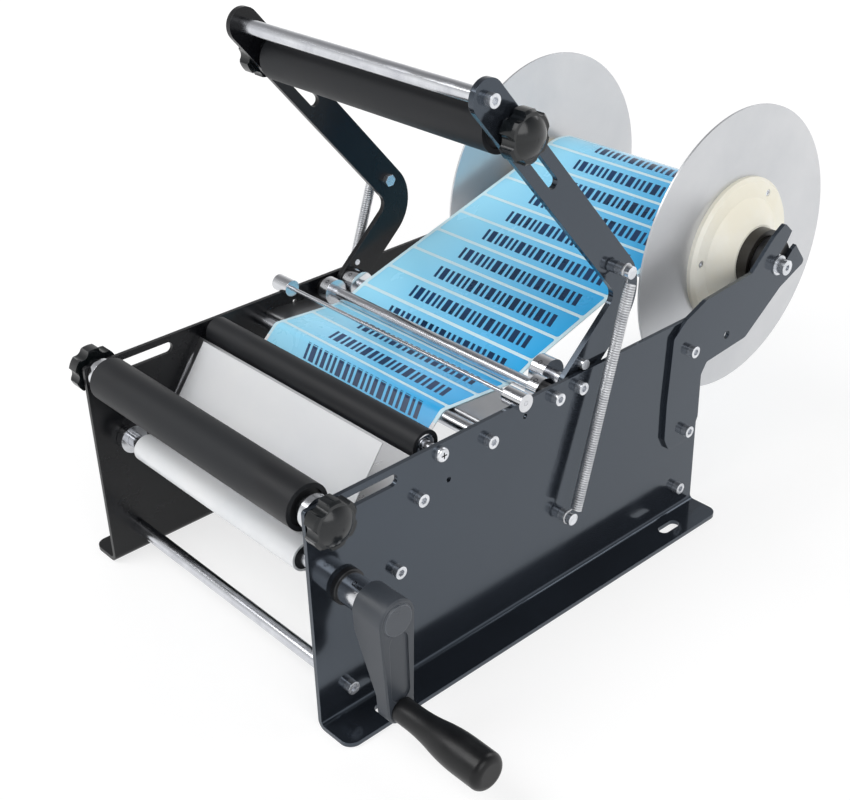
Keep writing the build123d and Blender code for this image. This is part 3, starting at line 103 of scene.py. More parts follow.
@dataclass
class Graph:
    """Short way to add and join the nodes of one tree."""

    tree: bpy.types.NodeTree

    def add(self, kind: str, settings: dict | None = None, values: dict | None = None) -> Node:
        """Adds a node.

        Args:
            kind: type name of the node.
            settings: properties of the node itself.
            values: values of its unlinked inputs, by name or place.

        Returns:
            The new node.
        """
        node = self.tree.nodes.new(kind)
        for name, value in (settings or {}).items():
            setattr(node, name, value)
        for name, value in (values or {}).items():
            node.inputs[name].default_value = value
        return node

    def join(self, output: Socket, entry: Socket) -> None:
        """Links an output to an input."""
        self.tree.links.new(output, entry)

    def feed(self, entries: Sequence[Socket], values: Sequence[object]) -> None:
        """Links or sets inputs.

        Args:
            entries: the inputs.
            values: a socket, a value or None for each.
        """
        for entry, value in zip(entries, values):
            if isinstance(value, Socket):
                self.join(value, entry)
            elif value is not None:
                entry.default_value = value

    def sum_up(self, operation: str, first: object, second: object) -> Socket:
        """Adds a Math node.

        Args:
            operation: name of the operation.
            first: socket or number.
            second: socket or number.

        Returns:
            The output of the node.
        """
        node = self.add("ShaderNodeMath", {"operation": operation})
        self.feed(node.inputs, (first, second))
        return node.outputs[0]

    def vector(self, operation: str, first: object, second: object = None) -> Socket:
        """Adds a Vector Math node.

        Args:
            operation: name of the operation.
            first: socket or vector.
            second: socket or vector, where it takes two.

        Returns:
            The output that the operation fills.
        """
        node = self.add("ShaderNodeVectorMath", {"operation": operation})
        self.feed(node.inputs, (first, second))
        return node.outputs["Value" if operation in ("LENGTH", "DOT_PRODUCT") else "Vector"]

    def place(self, axis: str | None = None, source: str = "Object") -> Socket:
        """Place of the shaded point.

        Args:
            axis: letter of one axis, or None for the whole vector.
            source: output of the Texture Coordinate node.

        Returns:
            The vector or its one part.
        """
        whole = self.add("ShaderNodeTexCoord").outputs[source]
        if axis is None:
            return whole
        parts = self.add("ShaderNodeSeparateXYZ")
        self.join(whole, parts.inputs[0])
        return parts.outputs[axis]

    def blend(self, factor: Socket, first: object, second: object) -> Socket:
        """Adds a colour mix.

        Args:
            factor: socket of the share of the second colour.
            first: socket or colour values.
            second: socket or colour values.

        Returns:
            The mixed colour.
        """
        node = self.add("ShaderNodeMix", {"data_type": "RGBA"})
        self.feed((node.inputs["Factor"], node.inputs[6], node.inputs[7]), (factor, first, second))
        return node.outputs[2]

    def spread(self, value: Socket, lows: Pair, highs: Pair) -> Socket:
        """Adds a Map Range node.

        Args:
            value: socket to map.
            lows: lowest input and the output for it.
            highs: highest input and the output for it.

        Returns:
            The mapped value.
        """
        node = self.add("ShaderNodeMapRange", values={
            "From Min": lows[0], "From Max": highs[0], "To Min": lows[1], "To Max": highs[1]})
        self.join(value, node.inputs["Value"])
        return node.outputs["Result"]


@dataclass
class EffectLibrary:
    """Node groups of the shared effects, each built once."""

    groups: dict[Effect, bpy.types.NodeTree] = field(default_factory=dict)
    grain_gain: float = 0.6
    patch_range: Pair = (0.35, 0.65)
    edge_range: Pair = (0.99, 0.86)
    least_roughness: float = 0.02

    def place(self, graph: Graph, effect: Effect, values: dict) -> Node:
        """Places an effect in a material.

        Args:
            graph: the material's graph.
            effect: which effect.
            values: values of the group's inputs.

        Returns:
            The group node.
        """
        if effect not in self.groups:
            self.groups[effect] = self._build(effect)
        return graph.add("ShaderNodeGroup", {"node_tree": self.groups[effect]}, values)

    def _build(self, effect: Effect) -> bpy.types.NodeTree:
        """Builds the group of one effect."""
        tree = bpy.data.node_groups.new(effect.value, "ShaderNodeTree")
        builders = dict(zip(Effect, (self._grain, self._drawn, self._rings, self._marks, self._edges)))
        builders[effect](Graph(tree))
        return tree

    @staticmethod
    def _ends(graph: Graph, entries: dict[str, str], results: dict[str, str]) -> tuple:
        """Adds a group's named sockets and its two end nodes.

        Args:
            graph: graph of the group.
            entries: inputs by name, with their kind.
            results: outputs by name, with their kind.

        Returns:
            The outputs of the entry node and the inputs of the result node.
        """
        for way, sockets in (("INPUT", entries), ("OUTPUT", results)):
            for name, kind in sockets.items():
                graph.tree.interface.new_socket(name=name, in_out=way, socket_type=f"NodeSocket{kind}")
        return graph.add("NodeGroupInput").outputs, graph.add("NodeGroupOutput").inputs

    def _grain(self, graph: Graph) -> None:
        """Fine pebbled relief of a moulded or sprayed skin."""
        entries, results = self._ends(graph, {"Scale": "Float"}, {"Height": "Float"})
        place = graph.place()
        noise = graph.add("ShaderNodeTexNoise", values={"Detail": 3.0, "Roughness": 0.55})
        cells = graph.add("ShaderNodeTexVoronoi", {"feature": "SMOOTH_F1"})
        for texture in (noise, cells):
            graph.join(place, texture.inputs["Vector"])
            graph.join(entries["Scale"], texture.inputs["Scale"])
        mixed = graph.sum_up("ADD", noise.outputs[0], cells.outputs["Distance"])
        graph.join(graph.sum_up("MULTIPLY", mixed, self.grain_gain), results["Height"])

    def _drawn(self, graph: Graph) -> None:
        """Long fine lines along one direction."""
        entries, results = self._ends(graph, {"Stretch": "Vector"}, {"Height": "Float"})
        noise = graph.add("ShaderNodeTexNoise", values={"Scale": 1.0, "Detail": 4.0, "Roughness": 0.65})
        graph.join(graph.vector("MULTIPLY", graph.place(), entries["Stretch"]), noise.inputs["Vector"])
        graph.join(noise.outputs[0], results["Height"])

    def _rings(self, graph: Graph) -> None:
        """Fine rings round a line along X."""
        entries, results = self._ends(
            graph, {"Centre": "Vector", "Density": "Float"}, {"Height": "Float", "Radius": "Float"})
        moved = graph.vector("SUBTRACT", graph.place(), entries["Centre"])
        radius = graph.vector("LENGTH", graph.vector("MULTIPLY", moved, (0.0, 1.0, 1.0)))
        noise = graph.add("ShaderNodeTexNoise", {"noise_dimensions": "1D"},
                          {"Scale": 1.0, "Detail": 4.0, "Roughness": 0.7})
        graph.join(graph.sum_up("MULTIPLY", radius, entries["Density"]), noise.inputs["W"])
        graph.join(noise.outputs[0], results["Height"])
        graph.join(radius, results["Radius"])

    def _marks(self, graph: Graph) -> None:
        """Soft patches where hands and cloths have been."""
        entries, results = self._ends(graph, {"Scale": "Float", "Low": "Float", "High": "Float"},
                                      {"Value": "Float", "Mask": "Float"})
        noise = graph.add("ShaderNodeTexNoise", values={"Detail": 5.0, "Roughness": 0.6, "Distortion": 0.4})
        graph.join(graph.place(), noise.inputs["Vector"])
        graph.join(entries["Scale"], noise.inputs["Scale"])
        clean, handled = self.patch_range
        mask = graph.spread(noise.outputs[0], (clean, 0.0), (handled, 1.0))
        span = graph.sum_up("MULTIPLY", graph.sum_up("SUBTRACT", entries["High"], entries["Low"]), mask)
        graph.join(graph.sum_up("ADD", span, entries["Low"]), results["Value"])
        graph.join(mask, results["Mask"])

    def _edges(self, graph: Graph) -> None:
        """Rounded edges, as a mask for a lighter edge colour: wear on most finishes, and a painted highlight
        round the crank cap's rim.
        """
        entries, results = self._ends(graph, {"Radius": "Float"}, {"Mask": "Float", "Normal": "Vector"})
        bevel = graph.add("ShaderNodeBevel", {"samples": 6})
        graph.join(entries["Radius"], bevel.inputs["Radius"])
        plain = graph.add("ShaderNodeNewGeometry").outputs["Normal"]
        turn = graph.vector("DOT_PRODUCT", bevel.outputs[0], plain)
        whole, worn_and_highlit = self.edge_range
        graph.join(graph.spread(turn, (whole, 0.0), (worn_and_highlit, 1.0)), results["Mask"])
        graph.join(bevel.outputs[0], results["Normal"])


@dataclass(frozen=True)
class Finish:
    """One finish: its colours, its gloss and the marks of its making."""

    name: str
    colour: Colour
    roughness: float
    metallic: float = 0.0
    coat: float = 0.0
    coat_roughness: float = 0.08
    specular: float = 0.5
    specular_tint: Colour = Colour(255, 255, 255)
    texture: Texture = Texture.GRAIN
    scale: float = 900.0
    stretch: Point = (12.0, 2500.0, 2500.0)
    centre: Point = (0.0, 0.0, 0.0)
    relief: float = 1e-5
    relief_strength: float = 0.3
    swing: float = 0.06
    patch_scale: float = 14.0
    tint: Colour | None = None
    edge_radius: float = 0.0004
    edge_colour: Colour | None = None

    def material(self, effects: EffectLibrary) -> bpy.types.Material:
        """Builds the finish as a material.

        Args:
            effects: the shared effects.

        Returns:
            The material.
        """
        made = bpy.data.materials.new(self.name)
        made.use_nodes = True
        made.node_tree.nodes.clear()
        graph = Graph(made.node_tree)
        shader = graph.add("ShaderNodeBsdfPrincipled", values={
            "Base Color": self.colour.linear(), "Metallic": self.metallic, "Roughness": self.roughness,
            "Coat Weight": self.coat, "Coat Roughness": self.coat_roughness,
            "Specular IOR Level": self.specular, "Specular Tint": self.specular_tint.linear()})
        result = graph.add("ShaderNodeOutputMaterial")
        graph.join(shader.outputs[0], result.inputs["Surface"])
        marks = effects.place(graph, Effect.MARKS, {
            "Scale": self.patch_scale, "Low": max(self.roughness - self.swing, effects.least_roughness),
            "High": self.roughness + self.swing})
        graph.join(marks.outputs["Value"], shader.inputs["Roughness"])
        edges = effects.place(graph, Effect.EDGES, {"Radius": self.edge_radius})
        relief = graph.add("ShaderNodeBump", values={
            "Strength": self.relief_strength, "Distance": self.relief})
        graph.join(self.height(graph, effects), relief.inputs["Height"])
        graph.join(edges.outputs["Normal"], relief.inputs["Normal"])
        graph.join(relief.outputs[0], shader.inputs["Normal"])
        graph.join(self.base(graph, effects, marks, edges), shader.inputs["Base Color"])
        return made

    def height(self, graph: Graph, effects: EffectLibrary) -> Socket:
        """Relief of the surface, by its texture."""
        if self.texture is Texture.DRAWN:
            return effects.place(graph, Effect.DRAWN, {"Stretch": self.stretch}).outputs["Height"]
        if self.texture is Texture.RINGS:
            rings = effects.place(graph, Effect.RINGS, {"Centre": self.centre, "Density": self.scale})
            return rings.outputs["Height"]
        return effects.place(graph, Effect.GRAIN, {"Scale": self.scale}).outputs["Height"]

    def base(self, graph: Graph, effects: EffectLibrary, marks: Node, edges: Node) -> Socket:
        """Base colour with its soft patches and lighter edges, which stand for wear and, on the crank cap, a
        painted highlight.

        Args:
            graph: the material's graph.
            effects: the shared effects.
            marks: node of the handling marks.
            edges: node of the worn edges.

        Returns:
            The colour socket.
        """
        ground = self.colour.linear()
        tint = (self.tint or self.colour).linear()
        patched = graph.blend(marks.outputs["Mask"], ground, tint)
        # Lighter edge colour: wear, and on the crank cap a painted highlight.
        edge_wear_and_highlight = (self.edge_colour or self.tint or self.colour).linear()
        return graph.blend(edges.outputs["Mask"], patched, edge_wear_and_highlight)


@dataclass(frozen=True)
class SplitFinish(Finish):
    """Finish that changes its colour past a plane, such as where a liner is stripped."""

    axis: str = "X"
    limit: float = 0.0
    past: Past = Past.ABOVE
    past_colour: Colour = Colour(255, 255, 255)

    def base(self, graph: Graph, effects: EffectLibrary, marks: Node, edges: Node) -> Socket:
        """Base colour, changed past the plane."""
        near = Finish.base(self, graph, effects, marks, edges)
        share = graph.sum_up(self.past.value, graph.place(self.axis), self.limit)
        return graph.blend(share, near, self.past_colour.linear())


@dataclass(frozen=True)
class RollFinish(Finish):
    """Side of a wound roll: fine layers of paper and film round a board core."""

    core_radius: float = 0.038
    core_colour: Colour = Colour(205, 196, 178)
    layer_colour: Colour = Colour(120, 175, 215)
    layer_range: Pair = (0.4, 0.62)

    def base(self, graph: Graph, effects: EffectLibrary, marks: Node, edges: Node) -> Socket:
        """Base colour in layers outside the core."""
        rings = effects.place(graph, Effect.RINGS, {"Centre": self.centre, "Density": self.scale})
        paper, film = self.layer_range
        share = graph.spread(rings.outputs["Height"], (paper, 0.0), (film, 1.0))
        layers = graph.blend(share, self.colour.linear(), self.layer_colour.linear())
        outside = graph.sum_up("GREATER_THAN", rings.outputs["Radius"], self.core_radius)
        return graph.blend(outside, self.core_colour.linear(), layers)


@dataclass(frozen=True)
class LabelFinish(Finish):
    """Printed film, whose blue deepens across the web."""

    far_colour: Colour = Colour(50, 174, 236)
    near_x: float = -0.08
    far_x: float = 0.075

    def base(self, graph: Graph, effects: EffectLibrary, marks: Node, edges: Node) -> Socket:
        """Base colour that runs from one blue to the other along X."""
        share = graph.spread(graph.place("X"), (self.near_x, 0.0), (self.far_x, 1.0))
        return graph.blend(share, self.colour.linear(), self.far_colour.linear())


REEL_CENTRE = (0.0, 0.2545, 0.1666)
BLACK_ENAMEL = Finish(
    "Black enamel", Colour(28, 31, 36), 0.13, specular=0.95, specular_tint=Colour(216, 234, 255), scale=700.0,
    relief=1.2e-5, relief_strength=0.15, swing=0.04, tint=Colour(32, 36, 42),
    edge_colour=Colour(62, 67, 75))
# Darker, rougher and duller copy of the black enamel for the left-side parts: painted shade for the shadow
# those faces stand in.
ENAMEL_PAINTED_SHADE = Finish(
    "Black enamel with painted shade", Colour(13, 14, 17), 0.26, specular=0.32, scale=700.0, relief=1.2e-5,
    relief_strength=0.15, swing=0.05, tint=Colour(17, 18, 21), edge_colour=Colour(42, 45, 50))
BRIGHT_STEEL = Finish(
    "Bright drawn steel", Colour(222, 224, 228), 0.2, metallic=1.0, texture=Texture.DRAWN, relief=2e-5,
    relief_strength=0.35, swing=0.08, patch_scale=40.0, tint=Colour(196, 198, 204))
TURNED_STEEL = Finish(
    "Bright turned collars", Colour(228, 229, 232), 0.17, metallic=1.0, texture=Texture.DRAWN,
    stretch=(3500.0, 60.0, 60.0), relief=2e-5, relief_strength=0.35, swing=0.07, tint=Colour(200, 202, 206))
ZINC = Finish(
    "Zinc plated screws", Colour(236, 238, 242), 0.24, metallic=0.9, scale=1800.0, swing=0.08,
    patch_scale=120.0, tint=Colour(206, 209, 214))
SPRING_STEEL = Finish(
    "Spring wire", Colour(226, 227, 229), 0.34, metallic=0.85, scale=1400.0, swing=0.08, patch_scale=60.0,
    tint=Colour(190, 192, 196))
STAINLESS = Finish(
    "Stainless sheet", Colour(196, 197, 199), 0.32, metallic=1.0, texture=Texture.DRAWN,
    stretch=(2600.0, 14.0, 14.0), tint=Colour(180, 181, 184))
WHITE_FACING = Finish(
    "White facing", Colour(226, 227, 228), 0.45, scale=400.0, relief=3e-5, relief_strength=0.15,
    swing=0.08, patch_scale=9.0, tint=Colour(219, 221, 224))
LINER = SplitFinish(
    "Glazed liner", Colour(212, 239, 247), 0.38, coat=0.3, scale=1200.0, patch_scale=16.0,
    tint=Colour(198, 231, 243), axis="Y", limit=-0.043, past=Past.BELOW, past_colour=Colour(234, 235, 236))
SPENT_LINER = Finish(
    "Spent liner", Colour(236, 237, 238), 0.42, coat=0.2, texture=Texture.DRAWN, stretch=(1500.0, 8.0, 8.0),
    relief=3e-5, relief_strength=0.25, patch_scale=16.0, tint=Colour(226, 229, 232))
LABEL_BLUE = LabelFinish(
    "Blue label film", Colour(156, 226, 254), 0.24, coat=0.3, scale=1500.0, relief=8e-6, patch_scale=20.0)
LABEL_INK = Finish(
    "Navy print", Colour(8, 42, 70), 0.3, scale=1500.0, relief=8e-6, swing=0.05, tint=Colour(14, 60, 106))
RUBBER = Finish(
    "Roller rubber", Colour(27, 28, 31), 0.5, specular=0.28, scale=650.0, relief=4e-5, relief_strength=0.35,
    swing=0.08, patch_scale=10.0, tint=Colour(34, 36, 39), edge_colour=Colour(46, 47, 50))
BLACK_PLASTIC = Finish(
    "Black bearing plastic", Colour(24, 24, 26), 0.4, scale=1100.0, relief=2e-5, tint=Colour(31, 31, 33))
KNOB_BLACK = Finish(
    "Polished knob plastic", Colour(14, 18, 19), 0.2, coat=0.15, specular=0.4, swing=0.05, patch_scale=50.0,
    tint=Colour(22, 25, 28), edge_colour=Colour(44, 48, 52))
CRANK_GREY = Finish(
    "Slate crank moulding", Colour(54, 59, 66), 0.42, scale=1300.0, relief=4e-5, relief_strength=0.4,
    patch_scale=18.0, tint=Colour(60, 65, 72), edge_colour=Colour(92, 97, 104))
# The cap's light edge colour, on a wider edge than elsewhere, is a painted highlight: a bright ring round its
# rim.
CRANK_CAP_PAINTED_HIGHLIGHT = Finish(
    "Slate crank cap, painted rim highlight", Colour(63, 68, 75), 0.3, scale=1300.0, relief=2e-5, swing=0.05, patch_scale=30.0,
    tint=Colour(69, 74, 81), edge_radius=0.0007, edge_colour=Colour(128, 134, 142))
GRIP_BLACK = Finish(
    "Turned grip plastic", Colour(11, 12, 14), 0.4, coat=0.03, specular=0.32, texture=Texture.DRAWN,
    stretch=(900.0, 20.0, 20.0), patch_scale=30.0, tint=Colour(23, 24, 26))
ALUMINIUM = Finish(
    "Spun aluminium", Colour(214, 215, 217), 0.36, metallic=0.75, texture=Texture.RINGS, scale=2600.0,
    centre=REEL_CENTRE, relief_strength=0.25, swing=0.05, patch_scale=8.0, tint=Colour(204, 206, 209))
HUB_CREAM = SplitFinish(
    "Cream hub plastic", Colour(253, 251, 240), 0.36, relief=2e-5, relief_strength=0.25, swing=0.08,
    patch_scale=22.0, tint=Colour(249, 244, 226), edge_colour=Colour(254, 252, 244), limit=0.1005,
    past_colour=Colour(40, 37, 33))
ROLL_LAYERS = RollFinish(
    "Wound roll", Colour(226, 236, 240), 0.5, texture=Texture.RINGS, scale=9000.0, centre=REEL_CENTRE,
    relief=3e-5)
# Blackened steel of the set screws; the same finish paints the dark crosses on the rear roller's screws,
# which are painted shade of the hollow crosses in their heads.
DARK_STEEL_AND_RECESS_SHADE = Finish(
    "Blackened set screws and painted recess shade", Colour(70, 71, 74), 0.35, metallic=1.0, scale=2000.0, tint=Colour(54, 55, 58))


@dataclass
class Workshop:
    """Makes materials once and turns mesh data into pieces."""

    effects: EffectLibrary = field(default_factory=EffectLibrary)
    materials: dict[str, bpy.types.Material] = field(default_factory=dict)

    def material(self, finish: Finish) -> bpy.types.Material:
        """The material of a finish, built when first asked for."""
        if finish.name not in self.materials:
            self.materials[finish.name] = finish.material(self.effects)
        return self.materials[finish.name]

    def dress(self, node: str, finish: Finish) -> None:
        """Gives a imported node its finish.

        Args:
            node: name of the node.
            finish: its finish.
        """
        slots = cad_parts[node].data.materials
        made = self.material(finish)
        if len(slots) == 0:
            slots.append(made)
        for index in range(len(slots)):
            slots[index] = made
        LOG.info("dressed %s with %s", node, finish.name)

    def piece(self, name: str, mesh: Mesh, finish: Finish, body: str, slot: str) -> bpy.types.Object:
        """Makes a piece from points in millimetres.

        Args:
            name: name of the piece.
            mesh: its points and faces.
            finish: its finish.
            body: the body that it rides on.
            slot: not used.

        Returns:
            The new object.
        """
        points, faces = mesh
        data = bpy.data.meshes.new(name)
        data.from_pydata([[value * MILLIMETRE for value in point] for point in points], [], faces)
        data.validate()
        data.shade_smooth()
        data.set_sharp_from_angle(angle=math.radians(SHARP_ANGLE))
        data.materials.append(self.material(finish))
        made = bpy.data.objects.new(name, data)
        bpy.context.scene.collection.objects.link(made)
        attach(made, body)
        LOG.info("built %s, %d faces", name, len(faces))
        return made


def joined(meshes: Sequence[Mesh]) -> Mesh:
    """Several meshes as one."""
    points: list[Point] = []
    faces: list[tuple[int, ...]] = []
    for more_points, more_faces in meshes:
        shift = len(points)
        points += more_points
        faces += [tuple(index + shift for index in face) for face in more_faces]
    return points, faces


def lofted(rings: Sequence[Sequence[Point]]) -> Mesh:
    """Skin over rings of equal length, closed at both ends.

    Args:
        rings: point rings in order along the piece.

    Returns:
        The closed skin.
    """
    size = len(rings[0])
    points = [point for ring in rings for point in ring]
    faces = []
    for row in range(len(rings) - 1):
        for index in range(size):
            near, after = row * size, (index + 1) % size
            faces.append((near + index, near + after, near + size + after, near + size + index))
    last = (len(rings) - 1) * size
    faces.append(tuple(reversed(range(size))))
    faces.append(tuple(range(last, last + size)))
    return points, faces


def wire(path: Sequence[Vector], radius: float, sides: int = 7) -> Mesh:
    """Round wire along a path.

    Args:
        path: points of its middle line.
        radius: radius of the wire.
        sides: sides of its section.

    Returns:
        The skin of the wire.
    """
    rings = []
    turns = [math.tau * side / sides for side in range(sides)]
    across = Vector(X_AXIS)
    for index, point in enumerate(path):
        ahead = path[min(index + 1, len(path) - 1)] - path[max(index - 1, 0)]
        ahead.normalize()
        across = (across - across.dot(ahead) * ahead).normalized()
        beside = ahead.cross(across)
        rings.append([tuple(point + radius * (math.cos(turn) * across + math.sin(turn) * beside))
                      for turn in turns])
    return lofted(rings)


def turned(profile: Sequence[Pair], centre: Pair, steps: int = 40) -> Mesh:
    """Skin of a closed profile that is turned about a line along X.

    Args:
        profile: X and radius of its corners, in order.
        centre: Y and Z of the line.
        steps: places round the line.

    Returns:
        The closed skin.
    """
    count = len(profile)
    points = []
    faces = []
    for step in range(steps):
        turn = math.tau * step / steps
        row, next_row = step * count, (step + 1) % steps * count
        for index, (x, radius) in enumerate(profile):
            points.append((x, centre[0] + radius * math.cos(turn), centre[1] + radius * math.sin(turn)))
            after = (index + 1) % count
            faces.append((row + index, row + after, next_row + after, next_row + index))
    return points, faces


def block(low: Point, high: Point) -> Mesh:
    """Box between two corners."""
    corners = [(low[1], low[2]), (high[1], low[2]), (high[1], high[2]), (low[1], high[2])]
    return lofted([[(x, y, z) for y, z in corners] for x in (low[0], high[0])])


def mirrored(mesh: Mesh) -> Mesh:
    """The same mesh on the left side."""
    points, faces = mesh
    return [(-x, y, z) for x, y, z in points], [tuple(reversed(face)) for face in faces]


@dataclass
class Springs:
    """Two close-wound extension springs, with hooks at the side of the coil that keep it off the screws."""

    foot: Point = (124.3, 33.5, 56.5)
    top: Point = (120.8, 86.0, 217.0)
    wire_radius: float = 0.8
    coil_radius: float = 3.2
    eye_radius: float = 4.4
    neck: float = 6.9
    stand_off: float = 4.85
    hook: range = range(-305, -19, 15)
    pitch: float = 1.63
    steps: int = 12
    shortest: float = 0.966

    def coil(self) -> Mesh:
        """Right spring, as wire along eye, coil and eye."""
        foot = Vector(self.foot)
        top = Vector(self.top)
        along = (top - foot).normalized()
        beside = along.cross(Vector(X_AXIS)).normalized()
        sideways = beside.cross(along)
        wound = (top - foot).length - 2 * self.neck
        count = round(wound / self.pitch) * self.steps
        path = self._eye(foot, along, beside)
        for index in range(count + 1):
            turn = math.tau * index / self.steps - math.pi / 2
            reach = self.neck + wound * index / count
            axis = foot + along * reach + sideways * self.stand_off
            path.append(axis + self.coil_radius * (math.cos(turn) * beside + math.sin(turn) * sideways))
        path += reversed(self._eye(top, -along, -beside))
        return wire(path, self.wire_radius)

    def _eye(self, bolt: Vector, along: Vector, beside: Vector) -> list[Vector]:
        """Hook round a bolt, from its free end to the coil."""
        turns = [math.radians(degrees) for degrees in self.hook]
        return [bolt + self.eye_radius * (math.cos(turn) * along + math.sin(turn) * beside) for turn in turns]

    def build(self, shop: Workshop) -> None:
        """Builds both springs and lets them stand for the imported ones."""
        coil = self.coil()
        made = shop.piece("wound_springs", joined([coil, mirrored(coil)]), SPRING_STEEL,
                          "springs", "spring_wire")
        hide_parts("extension_springs")
        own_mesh(made)


@dataclass
class WebPath:
    """Upper face of the web, as a line in Y and Z from the roll, round the peel rod, to the next rod."""

    thickness: float = 0.5
    rounds: tuple[Point, ...] = (
        (254.5, 166.6, 44.05), (46.8, 148.1, 4.35), (25.0, 149.0, -4.85),
        (-34.0, 143.0, 5.35), (-111.5, 85.6, -4.35))
    roll_turn: float = 33.5
    feather: float = 0.62
    peel_round: int = 3
    legs: list[tuple[float, Vector, Vector, Vector]] = field(default_factory=list)

    def __post_init__(self) -> None:
        """Finds the straight legs that touch each pair of rounds."""
        for (y0, z0, r0), (y1, z1, r1) in zip(self.rounds, self.rounds[1:]):
            span = math.hypot(y1 - y0, z1 - z0)
            angle = math.atan2(z1 - z0, y1 - y0) - math.asin((r1 - r0) / span)
            outward = Vector((math.sin(angle), -math.cos(angle)))
            start = Vector((y0, z0)) + outward * (r0 + self.thickness / 2)
            end = Vector((y1, z1)) + outward * (r1 + self.thickness / 2)
            self.legs.append((angle, start, end, outward))

    def _turn(self, index: int) -> float:
        """Turn from one leg to the next, less than half way round."""
        return (self.legs[index + 1][0] - self.legs[index][0] + math.pi) % math.tau - math.pi

    def place(self, distance: float, lift: float) -> Pair:
        """Point on the web's upper face.

        Args:
            distance: way along the web from the roll, below zero on the roll itself.
            lift: height above the face.

        Returns:
            Y and Z of the point.
        """
        if distance < 0:
            radius = self.rounds[0][2] + self.thickness / 2
            turn = distance / radius
            drop = self.feather * min(-math.degrees(turn) / self.roll_turn, 1.0)
            start = math.atan2(self.legs[0][3].y, self.legs[0][3].x)
            heading = Vector((math.cos(start + turn), math.sin(start + turn)))
            point = Vector(self.rounds[0][:2]) + heading * (radius - drop + lift)
            return point.x, point.y
        for index, (_, start, end, outward) in enumerate(self.legs):
            length = (end - start).length
            if distance <= length or index == len(self.legs) - 1:
                point = start + (end - start) * (distance / length) + outward * lift
                return point.x, point.y
            distance -= length
            y, z, radius = self.rounds[index + 1]
            turn = self._turn(index)
            reach = radius + self.thickness / 2
            arc = abs(turn * reach)
            if distance <= arc:
                heading = Vector(outward)
                heading.rotate(Matrix.Rotation(turn * distance / arc, 2))
                point = Vector((y, z)) + heading * (reach + lift)
                return point.x, point.y
            distance -= arc
        raise ValueError("the web is shorter than that")

    def length_to_peel(self) -> float:
        """Way from the roll to the end of the bend round the peel rod."""
        total = 0.0
        for index in range(self.peel_round):
            total += (self.legs[index][2] - self.legs[index][1]).length
            turn = self._turn(index)
            total += abs(turn * (self.rounds[index + 1][2] + self.thickness / 2))
        return total


